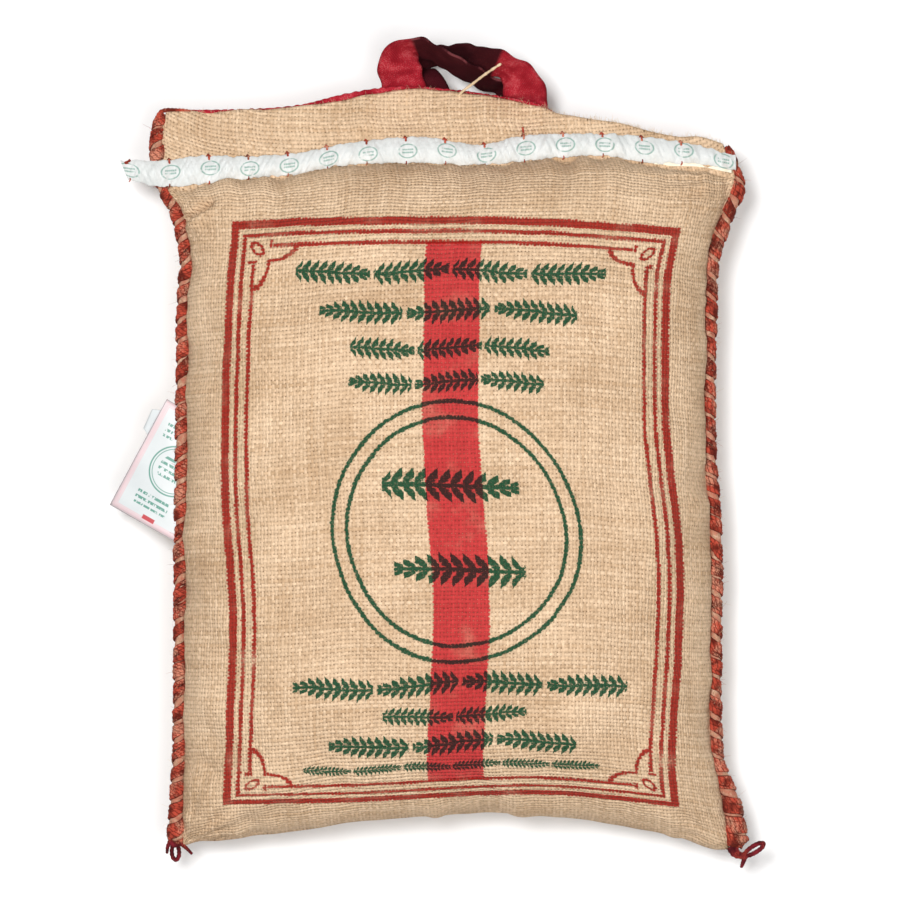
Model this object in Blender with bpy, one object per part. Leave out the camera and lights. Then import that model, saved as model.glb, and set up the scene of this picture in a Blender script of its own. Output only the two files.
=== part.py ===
"""A filled and sewn-shut jute sack of rice, lying on its back with its printed front up.

Metres, +Z up. +Y runs from the foot of the sack to its mouth and +X to the right of the
printed front. The origin is the middle of the flat underside.
"""
import math

import bmesh
import bpy
from mathutils import Vector

# The filled body
SACK_HEIGHT = 0.122
SEAM_HEIGHT = 0.055
SEAM_THICKNESS = 0.0030
UNDERSIDE_DEPTH = 0.066
ACROSS_POWER = 2.8
ALONG_POWER = 3.6
SWELL_POWER = 0.50
FOOT_DROP = 0.010
FOOT_DROP_POWER = 4
FOOT_DROP_MIDDLE = 0.3
FLAP_START = 0.204
FLAP_SLOPE = 0.20
FLAP_BEND = 0.005
FLAP_ROWS = 8
ACROSS_QUADS = 26
UP_QUADS = 32
EDGE_CROWD = 0.85
SLOPE_REACH = 0.002
CORNER_STEPS = 12
SHARP_ANGLE = math.radians(50)

# Side seams from foot to top edge: height up the sack, distance from the middle, cord radius
SEAM_LEFT = (
    (-0.1990, -0.1635, 0.0048),
    (-0.1890, -0.1634, 0.0045),
    (-0.1710, -0.1626, 0.0038),
    (-0.1350, -0.1611, 0.0034),
    (-0.0150, -0.1599, 0.0034),
    (0.0900, -0.1587, 0.0034),
    (0.1300, -0.1582, 0.0034),
    (0.1530, -0.1566, 0.0034),
    (0.1810, -0.1623, 0.0034),
    (0.1950, -0.1706, 0.0026),
    (0.2080, -0.1738, 0.0032),
    (0.2180, -0.1743, 0.0050),
    (0.2280, -0.1749, 0.0037),
    (0.2430, -0.1715, 0.0034),
)
SEAM_RIGHT = (
    (-0.1990, 0.1743, 0.0060),
    (-0.1890, 0.1733, 0.0058),
    (-0.1740, 0.1704, 0.0052),
    (-0.1590, 0.1659, 0.0040),
    (-0.1480, 0.1625, 0.0034),
    (-0.1150, 0.1606, 0.0034),
    (-0.0150, 0.1608, 0.0034),
    (0.0450, 0.1570, 0.0034),
    (0.1400, 0.1581, 0.0034),
    (0.1600, 0.1604, 0.0036),
    (0.1800, 0.1678, 0.0038),
    (0.1960, 0.1744, 0.0034),
    (0.2060, 0.1738, 0.0026),
    (0.2222, 0.1676, 0.0030),
)

# Foot and top edge of the cloth: distance from the middle, height up the sack
FOOT_EDGE = (
    (-0.1600, -0.1990),
    (-0.1490, -0.1957),
    (-0.1360, -0.1956),
    (-0.1185, -0.1926),
    (-0.0885, -0.1890),
    (-0.0585, -0.1838),
    (-0.0045, -0.1796),
    (0.0255, -0.1779),
    (0.0615, -0.1800),
    (0.0915, -0.1838),
    (0.1395, -0.1932),
    (0.1600, -0.2004),
    (0.1700, -0.2006),
)
TOP_EDGE = (
    (-0.1700, 0.2420),
    (-0.1185, 0.2427),
    (-0.0885, 0.2448),
    (-0.0405, 0.2530),
    (-0.0225, 0.2556),
    (0.0015, 0.2541),
    (0.0315, 0.2498),
    (0.0555, 0.2451),
    (0.0680, 0.2400),
    (0.1035, 0.2346),
    (0.1245, 0.2290),
    (0.1395, 0.2262),
    (0.1515, 0.2262),
    (0.1680, 0.2212),
)

# Closing tape: distance from the middle, height of its middle line, half its width
TAPE_LINE = (
    (-0.1925, 0.2068, 0.0058),
    (-0.1720, 0.2045, 0.0078),
    (-0.1473, 0.2070, 0.0085),
    (-0.1230, 0.2080, 0.0070),
    (-0.0890, 0.2110, 0.0063),
    (-0.0600, 0.2165, 0.0066),
    (-0.0160, 0.2190, 0.0080),
    (0.0195, 0.2160, 0.0062),
    (0.0460, 0.2200, 0.0078),
    (0.0920, 0.2222, 0.0066),
    (0.1200, 0.2190, 0.0078),
    (0.1515, 0.2160, 0.0055),
    (0.1725, 0.2106, 0.0046),
)
TAPE_THICKNESS = 0.0007
CORD_LIFT = 0.0036
TAPE_START = -0.1925
TAPE_END = 0.1725
TAPE_QUADS = 72
LIFT_LEFT = (-0.170, -0.162)
LIFT_RIGHT = (0.164, 0.170)
LINING_START = 0.1240
LINING_END = 0.1700
LINING_WIDTH = 0.0032
LINING_RISE = 0.012
LINING_QUADS = 12
MOUTH_BELOW_TAPE = 0.0010

# Stitches over the tape's upper edge
STITCH_COUNT = 15
STITCH_FIRST = -0.1905
STITCH_PITCH = 0.0236
STITCH_RADIUS = 0.0010
STITCH_ABOVE = 0.0026
STITCH_BELOW = 0.0026
STITCH_BEND = 0.0002
LONG_STITCH = 10
LONG_STITCH_EXTRA = 0.0030

# Overcast cord on the side seams
WRAP_PITCH = 0.0120
WRAP_RELIEF = 0.16
CORD_SIDES = 8
CORD_STEP = 0.0040
CORD_END_SHARE = 0.7
CORD_END_INSET = 0.001

# Red band behind the top edge: distance from the middle, how far it stands past the edge
BAND_PROUD = (
    (-0.1660, 0.0008),
    (-0.0900, 0.0012),
    (-0.0645, 0.0028),
    (-0.0405, 0.0028),
    (-0.0200, 0.0010),
    (0.0555, 0.0008),
    (0.0700, -0.0012),
    (0.1600, -0.0014),
)
BAND_WIDTH = 0.0120
BAND_THICKNESS = 0.0010
BAND_QUADS = 56

# Webbing handles: middle line, then the direction from the strap's middle to its inner edge
STRAP_WIDTH = 0.026
STRAP_THICKNESS = 0.0018
FRONT_HANDLE = (
    ((-0.0261, 0.2440, 0.0432), (1.00, 0.03, 0.00)),
    ((-0.0261, 0.2575, 0.0405), (1.00, 0.05, 0.00)),
    ((-0.0285, 0.2660, 0.0450), (0.97, 0.10, -0.15)),
    ((-0.0288, 0.2735, 0.0535), (0.85, 0.00, -0.50)),
    ((-0.0240, 0.2795, 0.0585), (0.45, -0.25, -0.85)),
    ((-0.0175, 0.2800, 0.0580), (0.10, -0.30, -0.95)),
    ((-0.0090, 0.2775, 0.0550), (0.00, -0.30, -0.95)),
    ((-0.0015, 0.2740, 0.0515), (-0.05, -0.28, -0.95)),
    ((0.0075, 0.2692, 0.0465), (-0.15, -0.25, -0.95)),
    ((0.0157, 0.2650, 0.0395), (-0.25, -0.20, -0.95)),
    ((0.0240, 0.2615, 0.0320), (-0.30, -0.15, -0.93)),
    ((0.0345, 0.2585, 0.0300), (-0.40, -0.15, -0.88)),
    ((0.0440, 0.2535, 0.0330), (-0.85, -0.20, -0.42)),
    ((0.0475, 0.2460, 0.0375), (-1.00, -0.05, 0.00)),
    ((0.0475, 0.2350, 0.0402), (-1.00, 0.00, 0.00)),
)
BACK_HANDLE = (
    ((-0.0100, 0.2430, 0.0406), (0.97, 0.20, 0.00)),
    ((-0.0110, 0.2526, 0.0382), (0.93, 0.35, 0.00)),
    ((-0.0177, 0.2624, 0.0345), (0.87, 0.45, -0.15)),
    ((-0.0215, 0.2696, 0.0290), (0.70, 0.10, -0.65)),
    ((-0.0165, 0.2745, 0.0280), (0.25, -0.30, -0.90)),
    ((-0.0050, 0.2775, 0.0330), (-0.05, -0.30, -0.95)),
    ((0.0045, 0.2782, 0.0420), (-0.05, -0.30, -0.95)),
    ((0.0150, 0.2758, 0.0525), (-0.10, -0.33, -0.93)),
    ((0.0255, 0.2724, 0.0595), (-0.15, -0.40, -0.90)),
    ((0.0387, 0.2658, 0.0585), (-0.42, -0.35, -0.80)),
    ((0.0459, 0.2562, 0.0505), (-0.88, -0.20, -0.35)),
    ((0.0471, 0.2495, 0.0421), (-1.00, 0.00, 0.00)),
    ((0.0471, 0.2360, 0.0448), (-1.00, 0.00, 0.00)),
)
STRAP_STATIONS = 44

# Two paper leaves sewn into the left seam: corners in the plan, upper corner first
LABEL_CORNERS = ((-0.1684, 0.0696), (-0.2037, 0.0060), (-0.1638, -0.0165), (-0.1628, 0.0665))
LEAF_CORNERS = ((-0.1775, 0.0636), (-0.1830, 0.0522), (-0.1634, 0.0200), (-0.1629, 0.0640))
LABEL_THICKNESS = 0.0006
LABEL_DROP = 0.012
LABEL_REACH = 0.04
LABEL_CURVE = 1.6
LABEL_QUADS = 6
LEAF_BELOW = 0.0014

# Yarn ends at the two foot corners. Heights are above the end of the seam cord
YARN_RADIUS = 0.0010
YARN_SIDES = 6
YARN_TAPER = 0.6
STEPS_A_STOP = 4
LOOP_QUADS = 14
LEFT_LOOP = {"middle": (-0.1640, -0.2040, -0.002), "way": (0.05, -1, 0), "length": 0.0082, "width": 0.0042}
LEFT_END = ((-0.1684, -0.1990, 0.0), (-0.1690, -0.2015, -0.001), (-0.1694, -0.2040, -0.003))
LEFT_TAIL = ((-0.1590, -0.2004, 0.0), (-0.1567, -0.2024, -0.002), (-0.1544, -0.2046, -0.004))
RIGHT_KNOT = ((0.1700, -0.2042, 0.0), (0.1745, -0.2054, 0.001), (0.1790, -0.2052, 0.0))
KNOT_RADIUS = 0.0022
KNOT_TAPER = 0.8
RIGHT_LOOP = {"middle": (0.1856, -0.2008, -0.001), "way": (1, 0.62, 0), "length": 0.0118, "width": 0.0040}
RIGHT_TAIL = ((0.1796, -0.2084, 0.0), (0.1784, -0.2103, -0.003), (0.1776, -0.2122, -0.006))
TAIL_RADIUS = 0.0013

GAP = 0.0003
CORD_GAP = 0.0006

COLOURS = {
    "jute": ((0.66, 0.44, 0.26, 1.0), 0.90),
    "red_yarn": ((0.42, 0.045, 0.03, 1.0), 0.75),
    "tape": ((0.86, 0.87, 0.84, 1.0), 0.55),
    "lining": ((0.85, 0.80, 0.66, 1.0), 0.60),
    "webbing": ((0.38, 0.02, 0.035, 1.0), 0.70),
    "paper": ((0.88, 0.86, 0.86, 1.0), 0.50),
}


def clear_scene():
    for item in list(bpy.data.objects):
        bpy.data.objects.remove(item, do_unlink=True)


def material(slot):
    colour, roughness = COLOURS[slot]
    made = bpy.data.materials.get(slot) or bpy.data.materials.new(slot)
    made.use_nodes = True
    shader = made.node_tree.nodes["Principled BSDF"]
    shader.inputs["Base Color"].default_value = colour
    shader.inputs["Roughness"].default_value = roughness
    shader.inputs["Metallic"].default_value = 0.0
    return made


def mix(start, end, share):
    return start + (end - start) * share


def through(rows, at):
    """Values on a smooth curve through rows of (position, value, ...), held level past its ends."""
    if at <= rows[0][0]:
        return rows[0][1:]
    if at >= rows[-1][0]:
        return rows[-1][1:]
    k = max(i for i in range(len(rows) - 1) if rows[i][0] <= at)
    first, here, there, last = (rows[min(max(k + j, 0), len(rows) - 1)] for j in (-1, 0, 1, 2))
    width = there[0] - here[0]
    t = (at - here[0]) / width
    values = []
    for j in range(1, len(here)):
        slope_here = (there[j] - first[j]) / (there[0] - first[0]) * width
        slope_there = (last[j] - here[j]) / (last[0] - here[0]) * width
        rise = there[j] - here[j]
        bend = (slope_here + slope_there - 2 * rise) * t + 3 * rise - 2 * slope_here - slope_there
        values.append(here[j] + t * (slope_here + t * bend))
    return values


def seam(side, y):
    """Distance from the middle and radius of the seam cord at a height up the sack."""
    return through(SEAM_LEFT if side < 0 else SEAM_RIGHT, y)


def cloth_edge(side, y):
    """The cloth's own side edge, just inside the seam cord."""
    x, radius = seam(side, y)
    slope = (seam(side, y + SLOPE_REACH)[0] - seam(side, y - SLOPE_REACH)[0]) / (2 * SLOPE_REACH)
    return x - side * (radius + CORD_GAP) * math.hypot(1, slope)


def foot_line(x):
    return through(FOOT_EDGE, x)[0]


def top_line(x):
    return through(TOP_EDGE, x)[0]


def tape_line(x):
    return through(TAPE_LINE, x)


def lining_share(x):
    """How much of the lining shows under the tape, from 0 to 1."""
    rise = min(max((x - LINING_START) / LINING_RISE, 0.0), 1.0)
    return rise * rise * (3 - 2 * rise)


def mouth_line(x):
    middle, half = tape_line(x)
    return middle - half - MOUTH_BELOW_TAPE - LINING_WIDTH * lining_share(x)


def corner_height(side, line):
    """Height up the sack where a side edge meets the foot, mouth or top line."""
    y = line(0.0)
    for _ in range(CORNER_STEPS):
        y = line(cloth_edge(side, y))
    return y


FOOT = {side: corner_height(side, foot_line) for side in (-1, 1)}
MOUTH = {side: corner_height(side, mouth_line) for side in (-1, 1)}
TOP = {side: corner_height(side, top_line) for side in (-1, 1)}


def cloth_plan(u, v):
    """Plan position on the cloth: u is 0 to 1 from left to right seam, and v is 0 at the foot,
    1 at the mouth and 2 at the top edge."""
    low, high, share = (FOOT, MOUTH, v) if v <= 1 else (MOUTH, TOP, v - 1)
    y_left = mix(low[-1], high[-1], share)
    y_right = mix(low[1], high[1], share)
    x = mix(cloth_edge(-1, y_left), cloth_edge(1, y_right), u)
    if v > 1:
        return x, mix(mouth_line(x), top_line(x), share)
    foot_x = mix(cloth_edge(-1, FOOT[-1]), cloth_edge(1, FOOT[1]), u)
    mouth_x = mix(cloth_edge(-1, MOUTH[-1]), cloth_edge(1, MOUTH[1]), u)
    foot_bend = foot_line(foot_x) - mix(FOOT[-1], FOOT[1], u)
    mouth_bend = mouth_line(mouth_x) - mix(MOUTH[-1], MOUTH[1], u)
    return x, mix(y_left, y_right, u) + foot_bend * (1 - v) ** 2 + mouth_bend * v ** 2


def flap_height(y):
    """Height of the flap's middle plane, which slopes down from the mouth."""
    past = max(0.0, y - FLAP_START)
    return SEAM_HEIGHT - FLAP_SLOPE * past * past / (past + FLAP_BEND)


def middle_height(u, v, y):
    """Height of the seam plane, which droops at the foot's corners and along the flap."""
    droop = max(0.0, 1 - v) ** FOOT_DROP_POWER * mix(FOOT_DROP_MIDDLE, 1.0, (2 * u - 1) ** 2)
    return flap_height(y) - FOOT_DROP * droop


def fullness(u, v):
    """How far the filling swells the cloth, from 0 at the seams to 1 in the middle."""
    if v >= 1:
        return 0.0
    across = 1 - abs(2 * u - 1) ** ACROSS_POWER
    along = 1 - abs(2 * v - 1) ** ALONG_POWER
    return max(0.0, across * along) ** SWELL_POWER


def cloth_top(u, v):
    x, y = cloth_plan(u, v)
    rise = (SACK_HEIGHT - SEAM_HEIGHT - SEAM_THICKNESS / 2) * fullness(u, v)
    return Vector((x, y, middle_height(u, v, y) + SEAM_THICKNESS / 2 + rise))


def cloth_under(u, v):
    x, y = cloth_plan(u, v)
    fall = UNDERSIDE_DEPTH * fullness(u, v)
    return Vector((x, y, max(0.0, middle_height(u, v, y) - SEAM_THICKNESS / 2 - fall)))


def seam_height(side, y):
    """Height of the seam cord above the ground at a height up the sack."""
    v = max(0.0, (y - FOOT[side]) / (MOUTH[side] - FOOT[side]))
    return middle_height(0.5 + side / 2, v, y)


def add_object(name, mesh, slot):
    item = bpy.data.objects.new(name, mesh)
    bpy.context.collection.objects.link(item)
    mesh.materials.append(material(slot))
    return item


def face_outward(mesh):
    shape = bmesh.new()
    shape.from_mesh(mesh)
    bmesh.ops.recalc_face_normals(shape, faces=shape.faces)
    shape.to_mesh(mesh)
    shape.free()


def grid_faces(rows, columns, start=0):
    return [
        (start + r * columns + c, start + r * columns + c + 1,
         start + (r + 1) * columns + c + 1, start + (r + 1) * columns + c)
        for r in range(rows - 1) for c in range(columns - 1)
    ]


def closed_pair(name, upper, lower, slot):
    """One body from two grids of points with the same rows and columns, joined round the rim."""
    rows, columns = len(upper), len(upper[0])
    points = [p for row in upper for p in row] + [p for row in lower for p in row]
    shift = rows * columns
    faces = grid_faces(rows, columns) + [tuple(reversed(f)) for f in grid_faces(rows, columns, shift)]
    rim = list(range(columns))
    rim += [r * columns + columns - 1 for r in range(1, rows)]
    rim += [(rows - 1) * columns + c for c in range(columns - 2, -1, -1)]
    rim += [r * columns for r in range(rows - 2, 0, -1)]
    for here, there in zip(rim, rim[1:] + rim[:1]):
        faces.append((here, here + shift, there + shift, there))
    mesh = bpy.data.meshes.new(name)
    mesh.from_pydata(points, [], faces)
    face_outward(mesh)
    mesh.shade_smooth()
    mesh.set_sharp_from_angle(angle=SHARP_ANGLE)
    return add_object(name, mesh, slot)


def sheet(name, grid, slot, thickness, offset):
    """A thin strip or leaf: one grid of points given its thickness."""
    mesh = bpy.data.meshes.new(name)
    mesh.from_pydata([p for row in grid for p in row], [], grid_faces(len(grid), len(grid[0])))
    item = add_object(name, mesh, slot)
    solid = item.modifiers.new("thickness", "SOLIDIFY")
    solid.thickness = thickness
    solid.offset = offset
    return item


def cross_ring(centre, along, radius, sides):
    """Points of one round section square to its path. The radius may depend on the angle."""
    side = along.cross(Vector((0, 0, 1))).normalized()
    up = side.cross(along).normalized()
    ring = []
    for i in range(sides):
        angle = 2 * math.pi * i / sides
        length = radius(angle) if callable(radius) else radius
        ring.append(centre + (side * math.cos(angle) + up * math.sin(angle)) * length)
    return ring


def tube(name, rings, slot, closed=False):
    """One body skinned over rings of points, capped at both ends or joined into a loop."""
    sides = len(rings[0])
    points = [p for ring in rings for p in ring]
    faces = []
    for r in range(len(rings) if closed else len(rings) - 1):
        this, after = r * sides, (r + 1) % len(rings) * sides
        for i in range(sides):
            j = (i + 1) % sides
            faces.append((this + i, this + j, after + j, after + i))
    if not closed:
        faces.append(tuple(range(sides)))
        faces.append(tuple(range(len(points) - sides, len(points))))
    mesh = bpy.data.meshes.new(name)
    mesh.from_pydata(points, [], faces)
    face_outward(mesh)
    mesh.shade_smooth()
    mesh.set_sharp_from_angle(angle=SHARP_ANGLE)
    return add_object(name, mesh, slot)


def path_rings(points, radius, sides, closed=False, taper=1.0):
    """Round sections along a path. A taper under 1 thins the path towards its end."""
    rings = []
    for i, point in enumerate(points):
        if closed:
            along = points[(i + 1) % len(points)] - points[i - 1]
        else:
            along = points[min(i + 1, len(points) - 1)] - points[max(i - 1, 0)]
        share = i / (len(points) - 1)
        rings.append(cross_ring(point, along.normalized(), radius * mix(1.0, taper, share), sides))
    return rings


def spaced(count, crowd):
    """Shares from 0 to 1, closer together at both ends the nearer crowd is to 1."""
    shares = []
    for i in range(count + 1):
        even = i / count
        shares.append(mix(even, 0.5 - 0.5 * math.cos(math.pi * even), crowd))
    return shares


def make_sack():
    """The cloth and its filling as one solid, with the double flap above the mouth."""
    across = spaced(ACROSS_QUADS, EDGE_CROWD)
    up = spaced(UP_QUADS, EDGE_CROWD) + [1 + i / FLAP_ROWS for i in range(1, FLAP_ROWS + 1)]
    upper = [[cloth_top(u, v) for u in across] for v in up]
    lower = [[cloth_under(u, v) for u in across] for v in up]
    return closed_pair("jute_sack", upper, lower, "jute")


def make_seam_cord(name, side):
    """The rolled side edge overcast with thick yarn, twisted like a rope."""
    start = FOOT[side] + CORD_END_INSET
    end = TOP[side] - CORD_END_INSET
    count = round((end - start) / CORD_STEP)
    points = []
    radii = []
    for i in range(count + 1):
        y = mix(start, end, i / count)
        x, radius = seam(side, y)
        points.append(Vector((x, y, seam_height(side, y))))
        radii.append(radius)
    rings = []
    travelled = 0.0
    for i, point in enumerate(points):
        along = points[min(i + 1, count)] - points[max(i - 1, 0)]
        if i:
            travelled += (point - points[i - 1]).length
        phase = 2 * math.pi * travelled / WRAP_PITCH
        end_share = CORD_END_SHARE if i in (0, count) else 1.0

        def ridge(angle, phase=phase, radius=radii[i] * end_share):
            return radius * (1 - WRAP_RELIEF * (0.5 - 0.5 * math.cos(angle - side * phase)))

        rings.append(cross_ring(point, along.normalized(), ridge, CORD_SIDES))
    return tube(name, rings, "red_yarn")


def over_cords(x):
    """How far the tape is lifted where it crosses the seam cords, from 0 to 1."""
    left = min(max((LIFT_LEFT[1] - x) / (LIFT_LEFT[1] - LIFT_LEFT[0]), 0.0), 1.0)
    right = min(max((x - LIFT_RIGHT[0]) / (LIFT_RIGHT[1] - LIFT_RIGHT[0]), 0.0), 1.0)
    share = max(left, right)
    return share * share * (3 - 2 * share)


def tape_under(x, y):
    """Height of the tape's lower face over the flap and the seam cords."""
    return flap_height(y) + SEAM_THICKNESS / 2 + GAP + CORD_LIFT * over_cords(x)


def make_tape():
    rows = []
    for i in range(TAPE_QUADS + 1):
        x = mix(TAPE_START, TAPE_END, i / TAPE_QUADS)
        middle, half = tape_line(x)
        rows.append([Vector((x, y, tape_under(x, y)))
                     for y in (middle + half, middle, middle - half)])
    return sheet("closing_tape", rows, "tape", TAPE_THICKNESS, 1.0)


def make_lining():
    """The strip under the tape that shows below its lower edge towards the right corner."""
    rows = []
    for i in range(LINING_QUADS + 1):
        x = mix(LINING_START, LINING_END, i / LINING_QUADS)
        middle, half = tape_line(x)
        high = middle - half - GAP
        low = high - max(2 * GAP, (LINING_WIDTH - 2 * GAP) * lining_share(x))
        rows.append([Vector((x, y, tape_under(x, y) + GAP)) for y in (high, low)])
    return sheet("tape_lining", rows, "lining", TAPE_THICKNESS, 1.0)


def make_stitches():
    for i in range(STITCH_COUNT):
        x = STITCH_FIRST + STITCH_PITCH * i
        middle, half = tape_line(x)
        edge = middle + half
        above = STITCH_ABOVE + (LONG_STITCH_EXTRA if i == LONG_STITCH else 0.0)
        lift = TAPE_THICKNESS + GAP + STITCH_RADIUS
        points = []
        for y in (edge + above, edge + above / 2, edge + STITCH_BEND, edge - STITCH_BELOW):
            points.append(Vector((x, y, tape_under(x, y) + lift)))
        points[0].z -= TAPE_THICKNESS
        rings = path_rings(points, STITCH_RADIUS, YARN_SIDES)
        tube(f"tape_stitch_{i + 1:02d}", rings, "red_yarn")


def make_band():
    """The red band sewn behind the top edge, standing a little past it at the left."""
    rows = []
    for i in range(BAND_QUADS + 1):
        x = mix(BAND_PROUD[0][0], BAND_PROUD[-1][0], i / BAND_QUADS)
        high = top_line(x) + through(BAND_PROUD, x)[0]
        under = SEAM_THICKNESS / 2 + GAP
        rows.append([Vector((x, y, flap_height(y) - under))
                     for y in (high, high - BAND_WIDTH / 2, high - BAND_WIDTH)])
    return sheet("mouth_band", rows, "webbing", BAND_THICKNESS, -1.0)


def make_handle(name, stations):
    """A webbing loop. Each station gives the middle of the strap and the way to its inner edge."""
    reach = [0.0]
    for (here, _), (there, _) in zip(stations, stations[1:]):
        reach.append(reach[-1] + (Vector(there) - Vector(here)).length)
    rows = [(s, *place, *way) for s, (place, way) in zip(reach, stations)]
    grid = []
    for i in range(STRAP_STATIONS + 1):
        values = through(rows, reach[-1] * i / STRAP_STATIONS)
        middle, way = Vector(values[:3]), Vector(values[3:]).normalized()
        grid.append([middle - way * STRAP_WIDTH / 2, middle + way * STRAP_WIDTH / 2])
    return sheet(name, grid, "webbing", STRAP_THICKNESS, 0.0)


def make_leaf(name, corners, below):
    """A paper leaf between four corners, upper corner first, drooping away from the seam."""
    upper, outer, lower, inner = (Vector((*corner, 0.0)) for corner in corners)
    rows = []
    for i in range(LABEL_QUADS + 1):
        row = []
        for j in range(LABEL_QUADS + 1):
            away, along = i / LABEL_QUADS, j / LABEL_QUADS
            place = (inner.lerp(lower, along)).lerp(upper.lerp(outer, along), away)
            reach = (LABEL_CORNERS[2][0] - place.x) / LABEL_REACH
            place.z = SEAM_HEIGHT - below - LABEL_DROP * max(0.0, reach) ** LABEL_CURVE
            row.append(place)
        rows.append(row)
    return sheet(name, rows, "paper", LABEL_THICKNESS, 0.0)


def yarn(name, stops, height, radius=YARN_RADIUS, taper=YARN_TAPER):
    """A short yarn end through a few stops, given above a height."""
    rows = [(i, x, y, height + z) for i, (x, y, z) in enumerate(stops)]
    count = STEPS_A_STOP * (len(stops) - 1)
    points = [Vector(through(rows, i / STEPS_A_STOP)) for i in range(count + 1)]
    return tube(name, path_rings(points, radius, YARN_SIDES, taper=taper), "red_yarn")


def yarn_loop(name, height, middle, way, length, width):
    """A small closed loop of yarn, long in the direction `way`."""
    centre = Vector(middle) + Vector((0, 0, height))
    way = Vector(way).normalized()
    side = way.cross(Vector((0, 0, 1))).normalized()
    points = []
    for i in range(LOOP_QUADS):
        angle = 2 * math.pi * i / LOOP_QUADS
        points.append(centre + way * math.cos(angle) * length / 2 + side * math.sin(angle) * width / 2)
    return tube(name, path_rings(points, YARN_RADIUS, YARN_SIDES, closed=True), "red_yarn", closed=True)


def make_yarn_ends():
    """Loops, knot and tails where the seam yarn ends at the two foot corners."""
    left, right = seam_height(-1, FOOT[-1]), seam_height(1, FOOT[1])
    yarn_loop("left_yarn_loop", left, **LEFT_LOOP)
    yarn("left_yarn_end", LEFT_END, left)
    yarn("left_yarn_tail", LEFT_TAIL, left)
    yarn("right_yarn_knot", RIGHT_KNOT, right, radius=KNOT_RADIUS, taper=KNOT_TAPER)
    yarn_loop("right_yarn_loop", right, **RIGHT_LOOP)
    yarn("right_yarn_tail", RIGHT_TAIL, right, radius=TAIL_RADIUS)


def main():
    clear_scene()
    make_sack()
    make_seam_cord("left_seam_cord", -1)
    make_seam_cord("right_seam_cord", 1)
    make_tape()
    make_lining()
    make_stitches()
    make_band()
    make_handle("front_handle", FRONT_HANDLE)
    make_handle("back_handle", BACK_HANDLE)
    make_leaf("label_front", LABEL_CORNERS, 0.0)
    make_leaf("label_back", LEAF_CORNERS, LEAF_BELOW)
    make_yarn_ends()


main()
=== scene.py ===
"""Looks of a filled and sewn-shut jute sack of rice that lies on its back.

Metres, +Z up, +Y from the foot of the sack to its mouth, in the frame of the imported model.
"""
import math
from functools import reduce

import bpy
import numpy as np
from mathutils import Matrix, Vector


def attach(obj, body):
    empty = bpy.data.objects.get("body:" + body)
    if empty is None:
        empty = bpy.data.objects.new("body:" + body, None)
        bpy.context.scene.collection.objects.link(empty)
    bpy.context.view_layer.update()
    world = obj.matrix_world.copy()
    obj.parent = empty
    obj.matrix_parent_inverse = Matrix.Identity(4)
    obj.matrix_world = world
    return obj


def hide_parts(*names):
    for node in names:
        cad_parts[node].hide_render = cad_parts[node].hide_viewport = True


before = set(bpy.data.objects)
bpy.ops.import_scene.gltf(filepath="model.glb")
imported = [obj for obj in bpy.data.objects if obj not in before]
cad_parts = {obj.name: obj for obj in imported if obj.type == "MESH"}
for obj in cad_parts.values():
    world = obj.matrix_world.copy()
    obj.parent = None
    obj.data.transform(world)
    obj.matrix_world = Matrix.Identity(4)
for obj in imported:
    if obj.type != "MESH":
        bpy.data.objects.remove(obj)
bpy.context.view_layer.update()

# The filled body, the same sizes as the solid
SACK_HEIGHT = 0.122
SEAM_HEIGHT = 0.055
SEAM_THICKNESS = 0.0030
UNDERSIDE_DEPTH = 0.066
ACROSS_POWER = 2.8
ALONG_POWER = 3.6
SWELL_POWER = 0.50
FOOT_DROP = 0.010
FOOT_DROP_POWER = 4
FOOT_DROP_MIDDLE = 0.3
FLAP_START = 0.204
FLAP_SLOPE = 0.20
FLAP_BEND = 0.005

# Side seams from foot to top edge: height up the sack, distance from the middle, cord radius
SEAM_LEFT = (
    (-0.199, -0.1635, 0.0048), (-0.189, -0.1634, 0.0045), (-0.171, -0.1626, 0.0038),
    (-0.135, -0.1611, 0.0034), (-0.015, -0.1599, 0.0034), (0.09, -0.1587, 0.0034),
    (0.13, -0.1582, 0.0034), (0.153, -0.1566, 0.0034), (0.181, -0.1623, 0.0034),
    (0.195, -0.1706, 0.0026), (0.208, -0.1738, 0.0032), (0.218, -0.1743, 0.005),
    (0.228, -0.1749, 0.0037), (0.243, -0.1715, 0.0034),
)
SEAM_RIGHT = (
    (-0.199, 0.1743, 0.006), (-0.189, 0.1733, 0.0058), (-0.174, 0.1704, 0.0052),
    (-0.159, 0.1659, 0.004), (-0.148, 0.1625, 0.0034), (-0.115, 0.1606, 0.0034),
    (-0.015, 0.1608, 0.0034), (0.045, 0.157, 0.0034), (0.14, 0.1581, 0.0034), (0.16, 0.1604, 0.0036),
    (0.18, 0.1678, 0.0038), (0.196, 0.1744, 0.0034), (0.206, 0.1738, 0.0026), (0.2222, 0.1676, 0.003),
)
# The cloth ends at this share of a cord's radius, and a cord's slope is taken over this reach
CLOTH_REACH = 0.92
SLOPE_REACH = 0.002
CORNER_STEPS = 12

# Foot and top edge of the cloth: distance from the middle, height up the sack
FOOT_EDGE = (
    (-0.16, -0.199), (-0.149, -0.1957), (-0.136, -0.1956), (-0.1185, -0.1926), (-0.0885, -0.189),
    (-0.0585, -0.1838), (-0.0045, -0.1796), (0.0255, -0.1779), (0.0615, -0.18), (0.0915, -0.1838),
    (0.1395, -0.1932), (0.16, -0.2004), (0.17, -0.2006),
)
TOP_EDGE = (
    (-0.17, 0.242), (-0.1185, 0.2427), (-0.0885, 0.2448), (-0.0405, 0.253), (-0.0225, 0.2556),
    (0.0015, 0.2541), (0.0315, 0.2498), (0.0555, 0.2451), (0.068, 0.24), (0.1035, 0.2346),
    (0.1245, 0.229), (0.1395, 0.2262), (0.1515, 0.2262), (0.168, 0.2212),
)

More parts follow.
